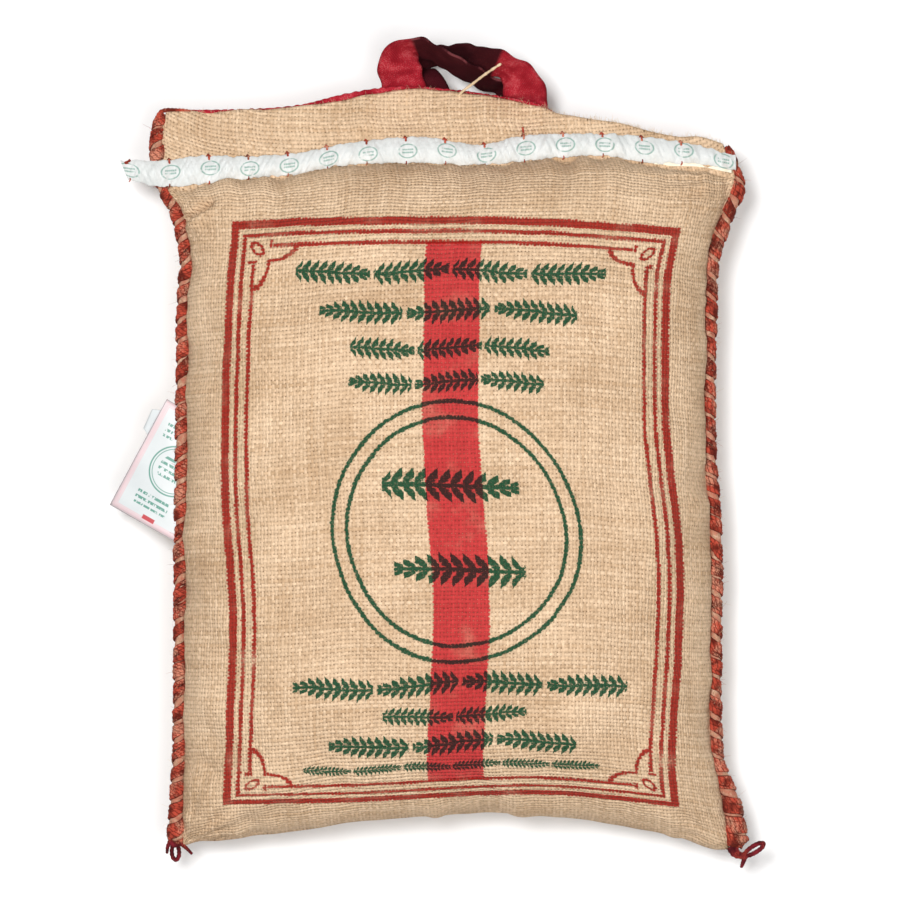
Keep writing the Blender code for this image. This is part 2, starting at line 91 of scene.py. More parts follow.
# Closing tape: distance from the middle, height of its middle line, half its width
TAPE_LINE = (
    (-0.1925, 0.2068, 0.0058), (-0.172, 0.2045, 0.0078), (-0.1473, 0.207, 0.0085),
    (-0.123, 0.208, 0.007), (-0.089, 0.211, 0.0063), (-0.06, 0.2165, 0.0066), (-0.016, 0.219, 0.008),
    (0.0195, 0.216, 0.0062), (0.046, 0.22, 0.0078), (0.092, 0.2222, 0.0066), (0.12, 0.219, 0.0078),
    (0.1515, 0.216, 0.0055), (0.1725, 0.2106, 0.0046),
)
LINING_START = 0.1240
LINING_TAPER = 0.012
LINING_WIDTH = 0.0032
LINING_SHOWN = 0.0017
MOUTH_BELOW_TAPE = 0.0010

# The picture's frame: its middle on the ground, the ground it spans and how far off it is seen from
PICTURE_MIDDLE = (0.0015, 0.0390)
PICTURE_SPAN = 0.540
PICTURE_PIXELS = 900
CAMERA_HEIGHT = 2.40
SENSOR = 36.0
VIEW_SHARE = PICTURE_SPAN / (CAMERA_HEIGHT - SEAM_HEIGHT)

LEFT, RIGHT = -1, 1
TURN = 2 * np.pi


def mix(start, end, share):
    return start + (end - start) * share


def ease(value, start, end):
    """0 before start, 1 after end, smooth between."""
    share = np.clip((np.asarray(value, float) - start) / (end - start), 0.0, 1.0)
    return share * share * (3 - 2 * share)


def through(rows, at):
    """Smooth curve through rows of (position, value, ...) at an array of positions."""
    rows = np.asarray(rows, float)
    at = np.asarray(at, float)
    place = rows[:, 0]
    k = np.clip(np.searchsorted(place, at, side="right") - 1, 0, len(rows) - 2)
    first, here = rows[np.maximum(k - 1, 0)], rows[k]
    there, last = rows[k + 1], rows[np.minimum(k + 2, len(rows) - 1)]
    width = (there - here)[..., :1]
    t = np.clip((at[..., None] - here[..., :1]) / width, 0.0, 1.0)
    slope_here = (there - first)[..., 1:] / (there - first)[..., :1] * width
    slope_there = (last - here)[..., 1:] / (last - here)[..., :1] * width
    rise = (there - here)[..., 1:]
    bend = (slope_here + slope_there - 2 * rise) * t + 3 * rise - 2 * slope_here - slope_there
    return here[..., 1:] + t * (slope_here + t * bend)


def seam(side, y):
    """Distance from the middle and radius of the seam cord at heights up the sack."""
    values = through(SEAM_LEFT if side < 0 else SEAM_RIGHT, y)
    return values[..., 0], values[..., 1]


def cloth_edge(side, y):
    """The cloth's own side edge, which ends just inside the seam cord."""
    x, radius = seam(side, y)
    slope = (seam(side, y + SLOPE_REACH)[0] - seam(side, y - SLOPE_REACH)[0]) / (2 * SLOPE_REACH)
    return x - side * CLOTH_REACH * radius * np.hypot(1, slope)


def foot_line(x):
    return through(FOOT_EDGE, x)[..., 0]


def top_line(x):
    return through(TOP_EDGE, x)[..., 0]


def mouth_line(x):
    values = through(TAPE_LINE, x)
    lining = LINING_WIDTH * ease(x, LINING_START, LINING_START + LINING_TAPER)
    return values[..., 0] - values[..., 1] - MOUTH_BELOW_TAPE - lining


def corner_heights(line):
    """Where a line across the sack meets the cloth's two side edges."""
    found = {}
    for side in (LEFT, RIGHT):
        y = line(np.array(0.0))
        for _ in range(CORNER_STEPS):
            y = line(cloth_edge(side, y))
        found[side] = float(y)
    return found


FOOT, MOUTH, TOP = corner_heights(foot_line), corner_heights(mouth_line), corner_heights(top_line)


def across_at(line, u):
    """Points on the straight line between a line's two corners, at shares u of it."""
    x = mix(cloth_edge(LEFT, line[LEFT]), cloth_edge(RIGHT, line[RIGHT]), u)
    return x, mix(line[LEFT], line[RIGHT], u)


def cloth_plan(u, v):
    """Plan position on the cloth: u is 0 to 1 from left to right seam, and v is 0 at the foot,
    1 at the mouth and 2 at the top edge."""
    body = v <= 1
    share = np.where(body, v, v - 1)
    y_left, y_right = (np.where(body, mix(FOOT[side], MOUTH[side], share), mix(MOUTH[side], TOP[side], share))
                       for side in (LEFT, RIGHT))
    x = mix(cloth_edge(LEFT, y_left), cloth_edge(RIGHT, y_right), u)
    foot_x, foot_y = across_at(FOOT, u)
    mouth_x, mouth_y = across_at(MOUTH, u)
    y_body = mix(y_left, y_right, u) + (foot_line(foot_x) - foot_y) * (1 - v) ** 2 \
        + (mouth_line(mouth_x) - mouth_y) * v ** 2
    return x, np.where(body, y_body, mix(mouth_line(x), top_line(x), share))


def flap_height(y):
    """Height of the flap's middle plane, which slopes down from the mouth."""
    past = np.maximum(0.0, np.asarray(y, float) - FLAP_START)
    return SEAM_HEIGHT - FLAP_SLOPE * past * past / (past + FLAP_BEND)


def flap_top(y):
    return flap_height(y) + SEAM_THICKNESS / 2


def middle_height(u, v, y):
    drop = np.maximum(0.0, 1 - v) ** FOOT_DROP_POWER
    return flap_height(y) - FOOT_DROP * drop * mix(FOOT_DROP_MIDDLE, 1.0, (2 * u - 1) ** 2)


def fullness(u, v):
    across = 1 - np.abs(2 * u - 1) ** ACROSS_POWER
    along = 1 - np.abs(2 * np.minimum(v, 1.0) - 1) ** ALONG_POWER
    return np.maximum(0.0, across * along) ** SWELL_POWER


def seam_height(side, y):
    v = np.maximum(0.0, (y - FOOT[side]) / (MOUTH[side] - FOOT[side]))
    return middle_height(0.5 + side / 2, v, y)


def ripple(along, pitch, seed, count=6):
    """Irregular wave along a line with waves about one pitch long, between -1 and 1."""
    rng = np.random.default_rng(seed)
    total = np.zeros_like(np.asarray(along, float))
    for _ in range(count):
        turns = rng.uniform(0.6, 1.6) / pitch
        total += rng.uniform(0.6, 1.0) * np.sin(2 * np.pi * (along * turns + rng.uniform()))
    return total / math.sqrt(count)


def lumps(x, y, size, seed, count=10):
    """Gentle unevenness of the filling, with lumps about one size wide."""
    rng = np.random.default_rng(seed)
    total = np.zeros_like(np.asarray(x, float))
    for _ in range(count):
        way = rng.uniform(0, 2 * np.pi)
        turns = rng.uniform(0.6, 1.3) / size
        total += np.sin(2 * np.pi * ((x * np.cos(way) + y * np.sin(way)) * turns + rng.uniform()))
    return total / math.sqrt(count)


def crease(x, y, start, end, half):
    """1 on a line between two plan points, falling to 0 at half a crease's width and at its ends."""
    start, end = np.array(start), np.array(end)
    way = (end - start) / np.linalg.norm(end - start)
    along = (x - start[0]) * way[0] + (y - start[1]) * way[1]
    off = (x - start[0]) * -way[1] + (y - start[1]) * way[0]
    length = np.linalg.norm(end - start)
    window = ease(along, -0.004, 0.006) * (1 - ease(along, length - 0.006, length + 0.004))
    return np.exp(-(off / half) ** 2) * window


def unit(vectors):
    return vectors / np.maximum(np.linalg.norm(vectors, axis=-1, keepdims=True), 1e-12)


def normals_of(points):
    """Unit normals of a grid of points whose rows run up the sack and columns across it."""
    return unit(np.cross(np.gradient(points, axis=1), np.gradient(points, axis=0)))


def steps_along(points, axis):
    """Distance travelled over the grid along one axis."""
    gap = np.linalg.norm(np.diff(points, axis=axis), axis=-1)
    pad = [(1, 0), (0, 0)] if axis == 0 else [(0, 0), (1, 0)]
    return np.cumsum(np.pad(gap, pad), axis=axis)


ACROSS_QUADS = 180
UP_QUADS = 214
FLAP_QUADS = 34
EDGE_CROWDING = 0.85
WRAP_PITCH = 0.0120
WRAPS_APART = 1.3

# Creases of the upper cloth: height, start, end, half width
CREASES = (
    (-0.006, (-0.159, 0.176), (-0.14, 0.1875), 0.0026),
    (0.0026, (-0.157, 0.1715), (-0.137, 0.1835), 0.004),
    (-0.0014, (0.156, 0.132), (0.144, 0.1345), 0.0022),
    (-0.0012, (-0.15, -0.145), (-0.133, -0.156), 0.003),
)
# Corners from which folds fan out, each with the seed of its folds
FANS = ((LEFT, FOOT, 51), (RIGHT, FOOT, 52), (LEFT, MOUTH, 53), (RIGHT, MOUTH, 54))


def crowded(count):
    """Shares from 0 to 1 that lie closer together near both ends."""
    even = np.linspace(0, 1, count + 1)
    return mix(even, 0.5 - 0.5 * np.cos(np.pi * even), EDGE_CROWDING)


def cloth_side(face):
    """Grid of points and cloth coordinates of the upper (1) or lower (-1) cloth."""
    v_line = np.concatenate([crowded(UP_QUADS), 1 + np.arange(1, FLAP_QUADS + 1) / FLAP_QUADS])
    v, u = np.meshgrid(v_line, crowded(ACROSS_QUADS), indexing="ij")
    x, y = cloth_plan(u, v)
    middle, half = middle_height(u, v, y), SEAM_THICKNESS / 2
    if face > 0:
        z = middle + half + (SACK_HEIGHT - SEAM_HEIGHT - half) * fullness(u, v)
    else:
        z = np.maximum(0.0, middle - half - UNDERSIDE_DEPTH * fullness(u, v))
    points = np.stack([x, y, z], axis=-1)

    across, up = steps_along(points, 1), steps_along(points, 0)
    side_near = np.minimum(across, across[:, -1:] - across)
    to_mouth = up[UP_QUADS] - up
    body, left = v <= 1, u < 0.5

    # Puckers under the yarn's wraps, and pulls from the sides
    pull = np.where(left, ripple(y, 0.034, 21), ripple(y, 0.037, 22))
    wraps = np.cos(TURN * y / WRAP_PITCH + np.where(left, 0.0, WRAPS_APART) + 90 * side_near)
    relief = 0.00055 * wraps * np.exp(-side_near / 0.010) * (0.7 + 0.3 * pull)
    relief += 0.0016 * pull * np.exp(-side_near / 0.022) * ease(side_near, 0, 0.012)

    # Pulls from the foot and the mouth, folds from the corners and lumps of the filling
    filled = 0.0013 * ripple(x + 0.2 * y, 0.026, 31) * np.exp(-up / 0.020)
    gathers = 0.0016 * ripple(x, 0.030, 41) + 0.0006 * ripple(x, 0.013, 42)
    filled += gathers * np.exp(-np.abs(to_mouth) / 0.022) * ease(to_mouth, 0, 0.006)
    for side, line, seed in FANS:
        off_x, off_y = x - float(cloth_edge(side, line[side])), y - line[side]
        reach = np.hypot(off_x, off_y)
        folds = ripple(np.arctan2(off_y, off_x), 0.42, seed, 4)
        filled += 0.0020 * folds * ease(reach, 0.008, 0.03) * np.exp(-reach / 0.035)
    filled += 0.0011 * lumps(x, y, 0.055, 61 + face) + 0.0004 * lumps(x, y, 0.022, 71 + face)

    if face > 0:
        for height, start, end, width in CREASES:
            relief += height * crease(x, y, start, end, width)
    tape = through(TAPE_LINE, x)
    past_tape = y - tape[..., 0] - tape[..., 1]
    flap_wave = 0.0012 * lumps(x, y, 0.045, 81) + 0.0009 * ripple(x, 0.028, 82)
    relief += np.where(body, filled, face * flap_wave * ease(past_tape, 0.001, 0.010))
    relief *= ease(np.minimum(side_near, np.where(body, up + 0.001, 1)), 0, 0.004)
    points = points + normals_of(points) * (relief * face)[..., None]
    points[..., 2] = np.maximum(points[..., 2], 0.0)

    column, row = ACROSS_QUADS // 2, UP_QUADS // 2
    return points, np.stack([across - across[:, column:column + 1], up - up[row:row + 1]], axis=-1)


# The print, whose outer line's middle makes the rectangle. Its sides as seen in the picture, in pixels
PRINT_LEFT = (
    (228, 235.7), (298, 230.0), (398, 225.7), (482, 225.0), (533, 227.3), (582, 231.3), (632, 233.0),
    (715, 230.3), (802, 227.0),
)
PRINT_RIGHT = (
    (228, 677.0), (282, 667.0), (382, 665.3), (428, 666.0), (482, 672.0), (532, 677.7), (582, 680.3),
    (648, 678.3), (715, 673.7), (765, 672.0), (805, 675.3),
)
PRINT_TOP = (
    (231, 225.7), (282, 223.0), (348, 221.0), (415, 220.3), (482, 220.3), (548, 222.3), (615, 226.7),
    (677, 232.0),
)
PRINT_BOTTOM = (
    (227, 802.5), (255, 801.7), (348, 800.0), (415, 796.7), (482, 793.0), (548, 792.3), (615, 797.7),
    (675, 804.3),
)
PRINT_WIDTH = 0.268
PRINT_LENGTH = 0.348
PRINT_ROWS = 573
FOOT_SQUEEZE = 14
FOOT_SQUEEZE_REACH = 20


def picture_place(points):
    """Where points fall in the picture, in pixels from its upper left corner."""
    scale = PICTURE_PIXELS / ((CAMERA_HEIGHT - points[..., 2]) * VIEW_SHARE)
    across = PICTURE_PIXELS / 2 + (points[..., 0] - PICTURE_MIDDLE[0]) * scale
    down = PICTURE_PIXELS / 2 - (points[..., 1] - PICTURE_MIDDLE[1]) * scale
    return across, down


def held(rows, at):
    """A curve through rows, held level past its ends."""
    return through(rows, np.clip(at, rows[0][0], rows[-1][0]))[..., 0]


def print_place(points):
    """Place on the printed rectangle, in metres from its middle, for points of the upper cloth."""
    across, down = picture_place(points)
    left, right = held(PRINT_LEFT, down), held(PRINT_RIGHT, down)
    top, bottom = held(PRINT_TOP, across), held(PRINT_BOTTOM, across)
    share = (across - left) / (right - left)
    rise = (bottom - down) / (bottom - top) * PRINT_ROWS
    near = 1 - np.exp(-np.maximum(rise, 0) / FOOT_SQUEEZE_REACH)
    squeeze = FOOT_SQUEEZE * np.where(rise > 0, near, rise / FOOT_SQUEEZE_REACH)
    height = (rise + squeeze) / (PRINT_ROWS + FOOT_SQUEEZE)
    return np.stack([(share - 0.5) * PRINT_WIDTH, (height - 0.5) * PRINT_LENGTH], axis=-1)


def new_object(name, points, faces):
    mesh = bpy.data.meshes.new(name)
    mesh.from_pydata([tuple(p) for p in points], [], [tuple(int(i) for i in f) for f in faces])
    mesh.validate()
    mesh.shade_smooth()
    item = bpy.data.objects.new(name, mesh)
    bpy.context.collection.objects.link(item)
    return item


def grid_faces(rows, columns, start=0, flip=False):
    r, c = np.meshgrid(np.arange(rows - 1), np.arange(columns - 1), indexing="ij")
    first = start + (r * columns + c).ravel()
    quads = np.stack([first, first + 1, first + columns + 1, first + columns], axis=-1)
    return quads[:, ::-1] if flip else quads


def rim_of(rows, columns):
    """Indices round the rim of a grid, counter-clockwise seen from its upper side."""
    rim = list(range(columns))
    rim += [r * columns + columns - 1 for r in range(1, rows)]
    rim += [(rows - 1) * columns + c for c in range(columns - 2, -1, -1)]
    rim += [r * columns for r in range(rows - 2, 0, -1)]
    return np.array(rim)


def closed_sheet(name, upper, lower, bulge=0.00008):
    """One closed body from two grids joined round the rim, with a rounded edge between them."""
    rows, columns = upper.shape[:2]
    top, under = upper.reshape(-1, 3), lower.reshape(-1, 3)
    rim = rim_of(rows, columns)
    edge = (top[rim] + under[rim]) / 2
    along = np.roll(edge, -1, axis=0) - np.roll(edge, 1, axis=0)
    edge = edge + unit(np.cross(along, top[rim] - under[rim])) * bulge
    shift, here, there = len(top), rim, np.roll(rim, -1)
    e_here = 2 * shift + np.arange(len(rim))
    e_there = np.roll(e_here, -1)
    faces = [grid_faces(rows, columns), grid_faces(rows, columns, shift, flip=True),
             np.stack([there, here, e_here, e_there], axis=-1),
             np.stack([e_there, e_here, here + shift, there + shift], axis=-1)]
    return new_object(name, np.concatenate([top, under, edge]), np.concatenate(faces))


def thin_sheet(name, upper, thickness, bulge=0.00008):
    return closed_sheet(name, upper, upper - np.array([0.0, 0.0, thickness]), bulge)


def set_uv(item, name, places):
    """A UV map from one place for each vertex."""
    layer = item.data.uv_layers.new(name=name)
    corners = np.empty(len(item.data.loops), dtype=np.int32)
    item.data.loops.foreach_get("vertex_index", corners)
    layer.data.foreach_set("uv", places[corners].astype(np.float32).ravel())


def set_sheet_uv(item, name, upper, lower=None):
    """A UV map of a closed sheet from the places of its upper grid and, if they differ, its lower one."""
    flat = upper.reshape(-1, 2)
    under = flat if lower is None else lower.reshape(-1, 2)
    set_uv(item, name, np.concatenate([flat, under, flat[rim_of(*upper.shape[:2])]]))


def make_cloth():
    upper, upper_cloth = cloth_side(1)
    lower, lower_cloth = cloth_side(-1)
    item = closed_sheet("sack_cloth", upper, lower, 0.0010)
    set_sheet_uv(item, "cloth", upper_cloth, lower_cloth)
    places = np.ones((len(item.data.vertices), 2))
    printed = print_place(upper).reshape(-1, 2)
    places[:len(printed)] = printed
    set_uv(item, "print", places)
    return item


def operator(kind, swapped=False):
    """An arithmetic operator that adds a node."""
    def apply(self, other):
        pair = (other, self) if swapped else (self, other)
        return self.graph.math(kind, *pair)
    return apply


class Signal:
    """A shader socket that can be written in sums and products."""

    def __init__(self, graph, socket):
        self.graph, self.socket = graph, socket

    __add__ = __radd__ = operator("ADD")
    __sub__ = operator("SUBTRACT")
    __rsub__ = operator("SUBTRACT", swapped=True)
    __mul__ = __rmul__ = operator("MULTIPLY")
    __truediv__ = operator("DIVIDE")

    def __abs__(self):
        return self.graph.math("ABSOLUTE", self)


class Graph:
    """The nodes of one material."""

    def __init__(self, name):
        self.material = bpy.data.materials.new(name)
        self.material.use_nodes = True
        self.tree = self.material.node_tree

    def feed(self, node, inputs):
        for key, value in inputs.items():
            socket = node.inputs[key]
            if isinstance(value, Signal):
                self.tree.links.new(value.socket, socket)
            else:
                socket.default_value = (*value, 1.0) if socket.type == "RGBA" else value

    def node(self, kind, inputs, output=0, **settings):
        """A new node with its inputs fed, as the signal of one of its outputs."""
        node = self.tree.nodes.new(kind)
        for key, value in settings.items():
            setattr(node, key, value)
        self.feed(node, inputs)
        return Signal(self, node.outputs[output])

    def math(self, operation, *values):
        return self.node("ShaderNodeMath", dict(enumerate(values)), operation=operation)

    def low(self, *values):
        return reduce(lambda a, b: self.math("MINIMUM", a, b), values)

    def high(self, *values):
        return reduce(lambda a, b: self.math("MAXIMUM", a, b), values)

    def floor(self, a):
        return self.math("FLOOR", a)

    def fract(self, a):
        return self.math("FRACT", a)

    def wave(self, a):
        """Cosine of an angle given in turns."""
        return self.math("COSINE", a * (2 * math.pi))

    def length(self, a, b):
        return self.math("SQRT", a * a + b * b)

    def step(self, a, start, end):
        """0 before start and 1 after end, smooth between. Start may be the larger."""
        return self.node("ShaderNodeMapRange", {"Value": a, "From Min": start, "From Max": end},
                         "Result", interpolation_type="SMOOTHSTEP", clamp=True)

    def mix(self, share, a, b):
        return self.node("ShaderNodeMix", {0: share, 6: a, 7: b}, 2, data_type="RGBA", blend_type="MIX")

    def shade(self, colour, by):
        """A colour made lighter or darker by a factor."""
        return self.node("ShaderNodeVectorMath", {0: colour, "Scale": by}, operation="SCALE")

    def parts(self, vector):
        first = self.node("ShaderNodeSeparateXYZ", {0: vector})
        return [Signal(self, output) for output in first.socket.node.outputs]

    def uv(self, name):
        return self.parts(self.node("ShaderNodeUVMap", {}, uv_map=name))[:2]

    def place(self):
        """Object coordinates, which are metres in the frame of the sack."""
        return self.parts(self.node("ShaderNodeTexCoord", {}, "Object"))

    def joined(self, *values):
        return self.node("ShaderNodeCombineXYZ", dict(enumerate(values)))

    def noise(self, x, y, z=0.0, detail=2.0):
        """Smooth noise from 0 to 1 whose lumps are about one unit wide."""
        inputs = {"Vector": self.joined(x, y, z), "Scale": 1.0, "Detail": detail}
        return self.node("ShaderNodeTexNoise", inputs, noise_dimensions="3D")

    def grain(self, across, along=None, detail=2.0):
        """Noise in the sack's own space, with so many lumps to the metre across and along it."""
        x, y, z = self.place()
        return self.noise(x * across, y * (along or across), z * across, detail)

    def random(self, x):
        """One random number from 0 to 1 for each whole number x."""
        vector = self.joined(x + 0.5, 0.0, 0.5)
        return self.node("ShaderNodeTexWhiteNoise", {"Vector": vector}, noise_dimensions="3D")

    def finish(self, colour, roughness, height=None, depth=0.001, specular=0.15):
        inputs = {"Metallic": 0.0, "Base Color": colour, "Roughness": roughness,
                  "Specular IOR Level": specular}
        if height is not None:
            bump = {"Strength": 1.0, "Distance": depth, "Height": height}
            inputs["Normal"] = self.node("ShaderNodeBump", bump)
        self.feed(self.tree.nodes["Principled BSDF"], inputs)
        return self.material


PLAIN_SPECULAR = 0.5
WARP_PITCH = 0.00215
WEFT_PITCH = 0.00243
JUTE_PALE = (0.760, 0.555, 0.372)
JUTE_DEEP = (0.540, 0.352, 0.205)
# The weave's gaps are coloured with painted shade of the filling behind them
JUTE_PIT_SHADE = (0.200, 0.105, 0.052)
PRINT_RED = (0.500, 0.030, 0.034)
FRAME_RED = (0.300, 0.006, 0.003)
PRINT_GREEN = (0.001, 0.062, 0.026)
OVERPRINT = (0.026, 0.016, 0.014)
PRINT_STRAY = 1.6

# Green rows of rice ears, in millimetres from the print's middle: height, left end, right end,
# scale, ears in the row and the way they point
EAR_ROWS = (
    (144.0, -96, 97, 0.7, 4, 1), (120.5, -80, 81, 0.7, 3, -1), (98.5, -60, 64, 0.64, 3, 1),
    (78.5, -60, 61, 0.64, 3, -1), (17.0, -42, 44, 1.0, 1, 1), (-33.0, -38, 44, 1.0, 1, -1),
    (-100.5, -98, 106, 0.7, 4, -1), (-119.0, -43, 46, 0.55, 2, 1), (-136.0, -75, 77, 0.68, 3, -1),
    (-150.5, -89, 91, 0.34, 6, 1),
)
EAR_PITCH = 7.2
RING_CENTRE = (2.4, -10.3)
RING_RADII = ((73.8, 77.4), (65.3, 67.8))
RING_LINE = 2.2
STRIPE_CENTRE = 3.0
STRIPE_HALF = 16.8
STRIPE_END = 161.0
HALF_ROOT = 0.7071


def weave(graph, u, v):
    """Height of a plain jute weave from 0 to 1, the tone and fibre of its yarns and how much is pit."""
    a = u / WARP_PITCH + (graph.noise(u * 60, v * 18, 3.0) - 0.5) * 0.9
    b = v / WEFT_PITCH + (graph.noise(u * 18, v * 60, 7.0) - 0.5) * 0.9
    warp, weft = graph.floor(a), graph.floor(b)
    warp_thick = 0.58 + 0.58 * graph.noise(warp * 0.73, v * 70, 11.0)
    weft_thick = 0.66 + 0.56 * graph.noise(u * 60, weft * 0.73, 13.0)
    off_warp = abs(graph.fract(a) * 2.0 - 1.0) / warp_thick
    off_weft = abs(graph.fract(b) * 2.0 - 1.0) / weft_thick
    over = graph.wave(b * 0.5 - 0.25 + warp * 0.5)
    under = graph.wave(a * 0.5 - 0.25 + weft * 0.5)
    warp_height = (1.0 - off_warp * off_warp) * 0.45 + over * 0.22
    weft_height = (1.0 - off_weft * off_weft) * 0.50 - under * 0.22 + 0.04
    height = graph.high(warp_height, weft_height, 0.0) * 1.3
    top_is_warp = graph.math("GREATER_THAN", warp_height, weft_height)
    top_is_weft = 1.0 - top_is_warp
    warp_tone = graph.noise(warp * 0.61, v * 14, 17.0, detail=1.0)
    weft_tone = graph.noise(u * 14, weft * 0.61, 19.0, detail=1.0)
    tone = warp_tone * top_is_warp + weft_tone * top_is_weft
    fibre = graph.noise(u * 900, v * 2600) * top_is_weft + graph.noise(u * 2600, v * 900) * top_is_warp
    open_weave = graph.noise(a * 0.55, b * 0.55, 23.0)
    pit = graph.step(height, 0.44, 0.10) * graph.step(open_weave, 0.36, 0.66)
    mottle = graph.noise(a * 0.90, b * 0.90, 29.0, detail=1.0)
    return height + fibre * 0.12, tone, fibre * 0.35 + mottle * 0.65, pit


def lozenge(graph, x, y, tilt_cos, tilt_sin, half_long, half_wide):
    """Distance to a grain shape, less than 0 inside it."""
    along = (x * tilt_cos + y * tilt_sin) / half_long
    off = (y * tilt_cos - x * tilt_sin) / half_wide
    return (graph.length(along, off) - 1.0) * half_wide


def ear_row(graph, x, y, middle, start, end, scale, ears, way):
    """A row of lying rice ears: stems with grains in pairs. Distance in millimetres."""
    pitch, length = EAR_PITCH * scale, end - start
    share = (x - start) / length * ears
    along = graph.fract(share) if way > 0 else 1.0 - graph.fract(share)
    local = (graph.fract((x - start) / pitch) - 0.5) * (pitch * way)
    off = abs(y - middle - graph.wave(share * 0.5) * (2.0 * scale))
    full = graph.step(along, -0.04, 0.14) * (1.0 - 0.62 * graph.step(along, 0.62, 1.0))
    grain = lozenge(graph, local - off * 0.45, off / full - 7.0 * scale, 0.60, 0.80, 7.0 * scale, 2.7 * scale)
    inner = lozenge(graph, local + 1.5 * scale, off - 2.0 * scale, 0.92, 0.39, 3.6 * scale, 1.2 * scale)
    shapes = graph.low(grain, inner, off - 1.3 * scale)
    gaps = abs(along - 0.5) * (length / ears) - length / ears * 0.475
    ends = abs(x - (start + end) / 2) - length / 2
    return graph.high(shapes, gaps, ends)


def print_masks(graph, x, y):
    """Distances in millimetres to the red frame, the red stripe and the green drawing."""
    from_side = PRINT_WIDTH * 500 - abs(x)
    from_end = PRINT_LENGTH * 500 - abs(y)
    near, far = graph.low(from_side, from_end), graph.high(from_side, from_end)
    outer = abs(near) - 2.15
    middle = abs(near - 6.4) - 1.0
    inner = graph.high(abs(near - 12.9) - 0.95, 24.0 - far)
    hook = graph.high(abs(far - 22.5) - 0.8, abs(near - 12.0) - 2.2)
    lobe_off = graph.length((far - 22.5) / 15.5, (near - 12.9) / 9.0)
    lobe = graph.high(abs(lobe_off - 1.0) * 10.0 - 0.85, 12.9 - near, 21.5 - far)
    diagonal, aside = (near + far) * HALF_ROOT - 20.6, (far - near) * HALF_ROOT
    oval = abs(graph.length(diagonal / 4.4, aside / 2.5) - 1.0) * 3.0 - 0.65
    frame_lines = graph.low(outer, middle, inner, hook, lobe, oval)
    shift = graph.step(y, 110.0, 165.0) * 3.0
    stripe = graph.high(abs(x - STRIPE_CENTRE + shift) - STRIPE_HALF, abs(y) - STRIPE_END)
    green = []
    for across, along in RING_RADII:
        off = graph.length((x - RING_CENTRE[0]) / across, (y - RING_CENTRE[1]) / along)
        green.append(abs(off - 1.0) * ((across + along) / 2) - RING_LINE / 2)
    green += [ear_row(graph, x, y, *row) for row in EAR_ROWS]
    return frame_lines, stripe, graph.low(*green)


def jute_material():
    graph = Graph("jute_look")
    u, v = graph.uv("cloth")
    height, tone, fibre, pit = weave(graph, u, v)
    slow = graph.noise(u * 22, v * 22, 5.0, detail=3.0)
    jute = graph.step(tone * 0.45 + slow * 0.30 + fibre * 0.25, 0.66, 0.32)
    colour = graph.shade(graph.mix(jute, JUTE_PALE, JUTE_DEEP), 0.56 + 0.88 * fibre)
    # The gaps are real; their dark colour is painted shade
    colour = graph.mix(pit * 0.85, colour, JUTE_PIT_SHADE)

    x, y = (place * 1000.0 for place in graph.uv("print"))

    def stray(fine_level, slow_level):
        """How far the print lies off its place, in millimetres."""
        fine = graph.noise(x * 0.35, y * 0.35, fine_level) - 0.5
        return (fine + graph.noise(x * 0.05, y * 0.05, slow_level) - 0.5) * PRINT_STRAY

    frame_lines, stripe, green = print_masks(graph, x + stray(1.0, 2.0), y + stray(8.0, 9.0))
    ragged = (height - 0.55) * 1.3
    wear = graph.noise(x * 0.045, y * 0.045, 4.0, detail=3.0)
    fine_wear = graph.noise(x * 0.6, y * 0.6, 6.0)
    cover = 0.62 + 0.38 * graph.step(height + 0.25 * fine_wear, 0.20, 0.42)
    red_cover = cover * (0.80 + 0.20 * graph.step(wear, 0.25, 0.50))
    gaps = graph.step(wear + fine_wear * 0.35, 0.34, 0.52)
    frame_ink = graph.step(frame_lines - ragged, 0.45, -0.35) * red_cover * gaps
    stripe_ink = graph.step(stripe - ragged, 0.45, -0.35) * red_cover
    green_cover = (0.30 + 0.70 * cover) * (0.90 + 0.10 * graph.step(fine_wear, 0.3, 0.5))
    green_ink = graph.step(green - ragged * 0.7, 0.35, -0.35) * green_cover
    # Ink tone varies at random with the yarns, and is darker in the weave's gaps as painted shade
    ink_shade = (0.45 + 0.40 * tone + 0.70 * fibre) * (1.0 - 0.5 * pit)
    over_red = graph.shade(graph.mix(stripe_ink, PRINT_GREEN, OVERPRINT), 0.5 + ink_shade * 0.5)
    colour = graph.mix(stripe_ink * 0.97, colour, graph.shade(PRINT_RED, ink_shade))
    colour = graph.mix(frame_ink * 0.95, colour, graph.shade(FRAME_RED, ink_shade))
    colour = graph.mix(green_ink * 0.97, colour, over_red)
    return graph.finish(graph.shade(colour, 0.94 + 0.12 * slow), 0.92, height, 0.0009)


def path_frames(points, closed=False):
    """The two ways across a path at each of its points: sideways, and up from there."""
    around = np.roll(points, -1, axis=0) - np.roll(points, 1, axis=0)
    along = unit(around if closed else np.gradient(points, axis=0))
    side = unit(np.cross(along, np.array([0.0, 0.0, 1.0])))
    return side, np.cross(side, along)


def distances(points):
    """Distance travelled along a path to each of its points."""
    return np.concatenate([[0.0], np.cumsum(np.linalg.norm(np.diff(points, axis=0), axis=-1))])


def rings_round(centre, side, top, angle, wide, tall):
    """Rings of points round a path, from the two ways across it."""
    return centre[:, None] + side[:, None] * (np.cos(angle) * wide)[..., None] \
        + top[:, None] * (np.sin(angle) * tall)[..., None]


def skin(name, rings, closed=False):
    """A closed tube over rings of points."""
    count, sides = rings.shape[:2]
    start = np.arange(count if closed else count - 1)[:, None] * sides
    after = (start + sides) % (count * sides)
    here, there = np.arange(sides)[None, :], (np.arange(sides)[None, :] + 1) % sides
    quads = np.stack([start + here, start + there, after + there, after + here], axis=-1).reshape(-1, 4)
    faces = [tuple(q) for q in quads]
    if not closed:
        faces.append(tuple(range(sides))[::-1])
        faces.append(tuple(range((count - 1) * sides, count * sides)))
    return new_object(name, rings.reshape(-1, 3), faces)


